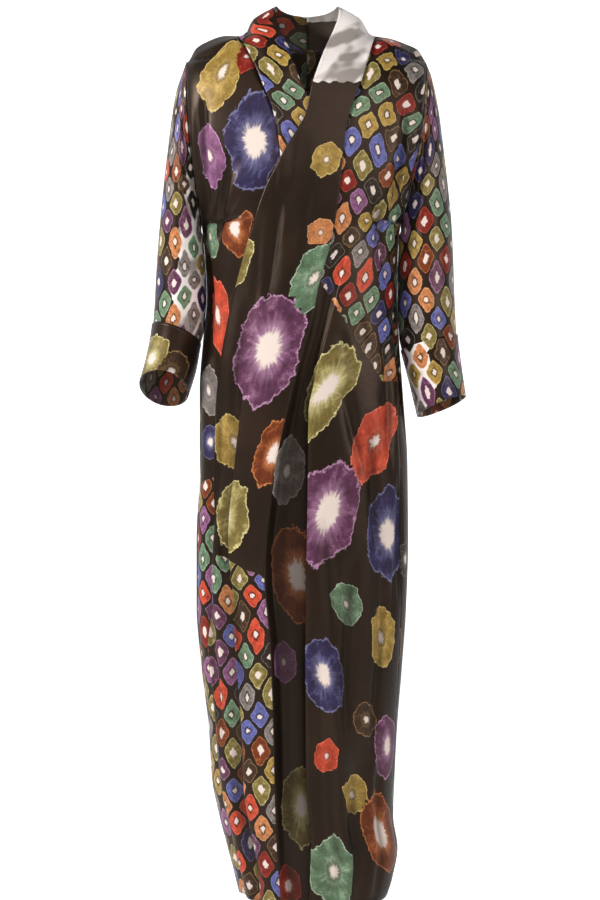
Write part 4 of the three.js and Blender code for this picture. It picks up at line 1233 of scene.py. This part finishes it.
def silk(name, settings, reverse=False):
    """Resist-dyed silk; its reverse is duller."""
    material = bpy.data.materials.new(name)
    material.use_nodes = True
    material.node_tree.nodes.clear()
    t = Tree(material.node_tree)
    cloth = t.add("ShaderNodeUVMap", uv_map="cloth").outputs[0]
    zone = t.add("ShaderNodeSeparateXYZ", {0: t.attribute("zones", 1)}).outputs
    border = t.times(t.wobble(cloth, 30.0, 2.0), 0.6)
    lattice_share = t.step(t.plus(zone[0], border), 0.45, 0.55)
    pale_share = t.step(t.plus(zone[1], border), 0.42, 0.58)
    plain_share = t.step(t.plus(zone[2], border), 0.42, 0.58)
    ground = t.mix(t.step(t.noise(cloth, 9.0, 3.0), 0.35, 0.75), rgba(GROUND), rgba(GROUND_LIGHT))
    pale = t.mix(t.step(t.noise(cloth, 16.0, 2.0), 0.5, 0.62), rgba(PALE_GROUND), rgba(PALE_SHADE))
    ground = t.mix(pale_share, ground, pale)
    large, large_inside = motif_layer(t, cloth)
    small, small_inside = lattice_layer(t, cloth)
    inside = t.plus(
        t.times(large_inside, t.less(1.0, lattice_share)),
        t.times(small_inside, lattice_share),
    )
    inside = t.times(inside, t.less(1.0, plain_share))
    colour = t.mix(inside, ground, t.mix(lattice_share, large, small))
    # Painted shade: the colour darkens in creases and in the recesses beside the laps
    colour = t.mix(t.attribute("fold_shade", 2), colour, rgba(PAINTED_FOLD_SHADE))
    if reverse:
        colour = t.mix(0.45, colour, rgba(REVERSE_TINT))
    weave = t.noise(t.vector("MULTIPLY", cloth, (1.0, 0.35, 1.0)), 1500.0, 2.0)
    height = t.times(t.noise(cloth, 42.0, 3.0), 2.0, weave)
    bump = t.add("ShaderNodeBump", {"Height": height, "Strength": 0.22, "Distance": 0.0012})
    shader = t.add("ShaderNodeBsdfPrincipled", {
        "Base Color": colour,
        "Roughness": 0.6 if reverse else settings.roughness,
        "Specular IOR Level": 0.34,
        "Specular Tint": rgba(SHEEN_TINT),
        "Sheen Weight": settings.sheen,
        "Sheen Roughness": 0.35,
        "Normal": bump.outputs[0],
    })
    t.add("ShaderNodeOutputMaterial", {0: shader.outputs[0]})
    return material


def simple_material(name, values):
    """A material whose shader has the given values, and that shader."""
    material = bpy.data.materials.new(name)
    material.use_nodes = True
    shader = material.node_tree.nodes["Principled BSDF"]
    for key, value in values.items():
        shader.inputs[key].default_value = value
    return material, shader


# ---- Stitches, in millimetres ----

STITCH = {"length": 3.4, "gap": 1.4, "half_width": 0.35, "height": 0.3, "sunk": 0.1}
# How far in from the edges the lines of stitches run
HEM_INSET = 20
BAND_EDGE_INSET = 2.2
BAND_SEAM_INSET = 5
CUFF_INSET = 4
# Faces of a stitch: point 0 is its start, 1 its end, and 2 to 4 and 5 to 7 go across it, with 3 and 6 on top
STITCH_FACES = ((0, 3, 2), (0, 4, 3), (2, 3, 6, 5), (3, 4, 7, 6), (5, 6, 1), (6, 7, 1))


def inset(lines, distance):
    """Points at a distance in from the start of each line, with the outward direction from line to line."""
    result = []
    for line in lines:
        left = distance
        for a, b in zip(line, line[1:]):
            span = (b - a).length
            if span >= left and span > 0:
                result.append((a.lerp(b, left / span), (b - a) / span))
                break
            left -= span
    return result


def stitch_path(line, flip):
    """Stitches along a line of points with their inward directions, as vertices and faces."""
    vertices, faces = [], []
    walked = 0.0
    length = STITCH["length"]
    for (a, side_a), (b, _) in zip(line, line[1:]):
        span = (b - a).length
        if span == 0:
            continue
        along = (b - a) / span
        up = along.cross(side_a).normalized() * flip
        wide = up.cross(along).normalized() * STITCH["half_width"]
        low, high = up * STITCH["sunk"], up * STITCH["height"]
        while walked < span:
            first = len(vertices)
            start = a + along * walked
            end = start + along * length
            vertices += [start - low, end - low]
            for share in (0.2, 0.8):
                point = start.lerp(end, share)
                vertices += [point - wide - low, point + high, point + wide - low]
            faces += [[first + k for k in face] for face in STITCH_FACES]
            walked += length + STITCH["gap"]
        walked -= span
    return vertices, faces


def stitch_lines(name, grid):
    """Lines of stitches of a piece: along the hem, the band's edges and the cuff's edges."""
    columns_up = [list(line) for line in zip(*grid)]
    lines = []
    if name.startswith(("back", "front", "band")):
        lines.append((inset(columns_up, HEM_INSET), -1))
    if name == "band_left":
        lines.append((inset(turned(grid), BAND_EDGE_INSET), -1))
        lines.append((inset(grid, BAND_SEAM_INSET), 1))
    if name == "band_right":
        lines.append((inset(grid, BAND_EDGE_INSET), 1))
        lines.append((inset(turned(grid), BAND_SEAM_INSET), -1))
    if name.startswith("cuff"):
        lines.append((inset(columns_up, CUFF_INSET), -1))
        lines.append((inset(turned(columns_up), CUFF_INSET), 1))
    return lines


def add_stitches(context, name, grid):
    vertices, faces = [], []
    for line, flip in stitch_lines(name, grid):
        more_vertices, more_faces = stitch_path(line, flip)
        faces += [[k + len(vertices) for k in face] for face in more_faces]
        vertices += more_vertices
    if not vertices:
        return None
    mesh = bpy.data.meshes.new(name + "_stitches")
    mesh.from_pydata([tuple(v * MM) for v in vertices], [], faces)
    mesh.shade_smooth()
    obj = new_object(context, name + "_stitches", mesh)
    thread = bpy.data.materials.get("silk thread")
    if not thread:
        thread, _ = simple_material("silk thread", {"Base Color": rgba(THREAD), "Roughness": 0.6})
    mesh.materials.append(thread)
    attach(obj, "root")
    return obj


# ---- Operators ----

def add_piece(context, row):
    """One piece of cloth, on its solid's form, with its stitches."""
    name = row["name"]
    settings = context.scene.kaftan
    grid = all_grids()[name]
    mesh, places, corners = cloth_mesh(name, grid, row["ring"])
    paint_motifs(mesh, name, grid, places, corners)
    paint_zones(mesh, name, grid, row["ring"])
    obj = new_object(context, name + "_silk", mesh)
    for title, reverse in (("printed silk", False), ("silk reverse", True)):
        mesh.materials.append(bpy.data.materials.get(title) or silk(title, settings, reverse))
    thicken(obj, settings.thickness)
    stitches = add_stitches(context, name, grid)
    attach(obj, "root")
    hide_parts(name)
    rests_on = [other + "_silk" for other in row["rests_on"]]


class KaftanSettings(bpy.types.PropertyGroup):
    thickness: bpy.props.FloatProperty(
        name="Cloth thickness", description="Thickness of the silk",
        default=0.0011, min=0.0003, max=0.002, subtype="DISTANCE", unit="LENGTH",
    )
    roughness: bpy.props.FloatProperty(
        name="Roughness", description="How dull the face of the silk is",
        default=0.38, min=0.1, max=1, subtype="FACTOR",
    )
    sheen: bpy.props.FloatProperty(
        name="Sheen", description="Soft sheen of the silk at its folds",
        default=0.06, min=0, max=1, subtype="FACTOR",
    )
    light: bpy.props.FloatProperty(
        name="Light", description="Strength of the studio lights", default=1.0, min=0.1, max=4,
    )


class PieceOperator:
    """Adds the pieces whose names start with one of its prefixes, in the order of the table."""
    bl_options = {"REGISTER", "UNDO"}
    prefixes = ()

    def execute(self, context):
        for row in PIECES:
            if row["name"].startswith(self.prefixes):
                add_piece(context, row)
        return {"FINISHED"}


class KAFTAN_OT_body(PieceOperator, bpy.types.Operator):
    """Add the back and both fronts"""
    bl_idname = "kaftan.body"
    bl_label = "Back and fronts"
    prefixes = ("back", "front")


class KAFTAN_OT_bands(PieceOperator, bpy.types.Operator):
    """Add the bands along the fronts and around the neck"""
    bl_idname = "kaftan.bands"
    bl_label = "Bands"
    prefixes = ("band",)


class KAFTAN_OT_sleeves(PieceOperator, bpy.types.Operator):
    """Add both sleeves"""
    bl_idname = "kaftan.sleeves"
    bl_label = "Sleeves"
    prefixes = ("sleeve",)


class KAFTAN_OT_cuffs(PieceOperator, bpy.types.Operator):
    """Add the turned-back cuffs"""
    bl_idname = "kaftan.cuffs"
    bl_label = "Cuffs"
    prefixes = ("cuff",)


class KAFTAN_OT_stage(bpy.types.Operator):
    """Add the floor, lights and camera of a plain studio"""
    bl_idname = "kaftan.stage"
    bl_label = "Studio"
    bl_options = {"REGISTER", "UNDO"}

    def execute(self, context):
        settings = context.scene.kaftan
        add_floor(context)
        for row in LIGHTS:
            add_light(context, row, settings.light)
        add_camera(context)
        add_world(context)
        context.scene.view_settings.view_transform = "Standard"
        context.scene.view_settings.look = "None"
        return {"FINISHED"}


LIGHTS = table(
    "name place aim size power",
    ("key", (-2.7, -1.3, 1.2), (0, 0, -0.6), 0.7, 128),
    ("fill", (2.6, -1.8, 0.2), (0, 0, -0.7), 0.9, 34),
    ("low", (-0.9, -3.0, -0.9), (0, 0, -1.1), 1.0, 3),
    ("high", (0.5, -2.3, 0.9), (0, 0, -0.1), 0.6, 15),
)
CAMERA_PLACE = (-0.0112, -3.79, -0.656)
CAMERA_ANGLE = 21.5
FLOOR_DROP = 0.014
STUDIO = (14, 7, 8)
# Brightness of the surroundings: as the camera sees them, and as they light the cloth
FLOOR_GLOW = (0.75, 0.18)
BACKDROP_GLOW = (0.95, 0.35)
WORLD_GLOW = (0.9, 0.1)
STAGE_LOOK = {
    "Base Color": (0.95, 0.95, 0.95, 1),
    "Roughness": 0.9,
    "Specular IOR Level": 0.0,
    "Emission Color": (1, 1, 1, 1),
}


def glow_strength(tree, glow):
    """Strength of a glow that the camera sees brighter than the cloth does."""
    t = Tree(tree)
    seen = t.add("ShaderNodeLightPath").outputs["Is Camera Ray"]
    return t.times(seen, glow[0] - glow[1], glow[1])


def stage_plane(context, name, corners, glow):
    mesh = bpy.data.meshes.new(name)
    mesh.from_pydata(corners, [], [(0, 1, 2, 3)])
    plane = new_object(context, name, mesh)
    material, shader = simple_material(name, STAGE_LOOK)
    tree = material.node_tree
    tree.links.new(glow_strength(tree, glow), shader.inputs["Emission Strength"])
    mesh.materials.append(material)


def add_floor(context):
    z = HEM_Z * MM - FLOOR_DROP
    w, d, h = STUDIO
    stage_plane(context, "studio_floor", [(-w, -d, z), (w, -d, z), (w, d, z), (-w, d, z)], FLOOR_GLOW)
    stage_plane(context, "studio_backdrop", [(-w, d, z), (w, d, z), (w, d, h), (-w, d, h)], BACKDROP_GLOW)


def add_light(context, row, strength):
    data = bpy.data.lights.new(row["name"], "AREA")
    data.energy = row["power"] * strength
    data.size = row["size"]
    lamp = bpy.data.objects.new(row["name"] + "_light", data)
    lamp.location = row["place"]
    lamp.rotation_euler = (Vector(row["aim"]) - Vector(row["place"])).to_track_quat("-Z", "Y").to_euler()
    context.scene.collection.objects.link(lamp)


def add_camera(context):
    data = bpy.data.cameras.new("camera")
    data.sensor_fit = "AUTO"
    data.angle = math.radians(CAMERA_ANGLE)
    data.dof.use_dof = False
    camera = bpy.data.objects.new("camera", data)
    camera.location = CAMERA_PLACE
    camera.rotation_euler = (math.radians(90), 0, 0)
    context.scene.collection.objects.link(camera)
    context.scene.camera = camera


def add_world(context):
    world = bpy.data.worlds.new("studio")
    world.use_nodes = True
    background = world.node_tree.nodes["Background"]
    background.inputs[0].default_value = (1, 1, 1, 1)
    world.node_tree.links.new(glow_strength(world.node_tree, WORLD_GLOW), background.inputs[1])
    context.scene.world = world


STEPS = ("kaftan.body", "kaftan.bands", "kaftan.sleeves", "kaftan.cuffs", "kaftan.stage")


class KAFTAN_PT_panel(bpy.types.Panel):
    """Sizes and steps of the kaftan"""
    bl_idname = "KAFTAN_PT_panel"
    bl_label = "Silk kaftan"
    bl_space_type = "VIEW_3D"
    bl_region_type = "UI"
    bl_category = "Kaftan"

    def draw(self, context):
        settings = context.scene.kaftan
        for name in ("thickness", "roughness", "sheen", "light"):
            self.layout.prop(settings, name)
        for step in STEPS:
            self.layout.operator(step)


CLASSES = (
    KaftanSettings, KAFTAN_OT_body, KAFTAN_OT_bands, KAFTAN_OT_sleeves, KAFTAN_OT_cuffs, KAFTAN_OT_stage,
    KAFTAN_PT_panel,
)


def register():
    for cls in CLASSES:
        bpy.utils.register_class(cls)
    bpy.types.Scene.kaftan = bpy.props.PointerProperty(type=KaftanSettings)


def unregister():
    del bpy.types.Scene.kaftan
    for cls in reversed(CLASSES):
        bpy.utils.unregister_class(cls)


def main():
    register()
    for obj in bpy.context.selected_objects:
        obj.select_set(False)
    bpy.ops.kaftan.body()
    bpy.ops.kaftan.bands()
    bpy.ops.kaftan.sleeves()
    bpy.ops.kaftan.cuffs()
    bpy.ops.kaftan.stage()


if __name__ == "__main__":
    main()
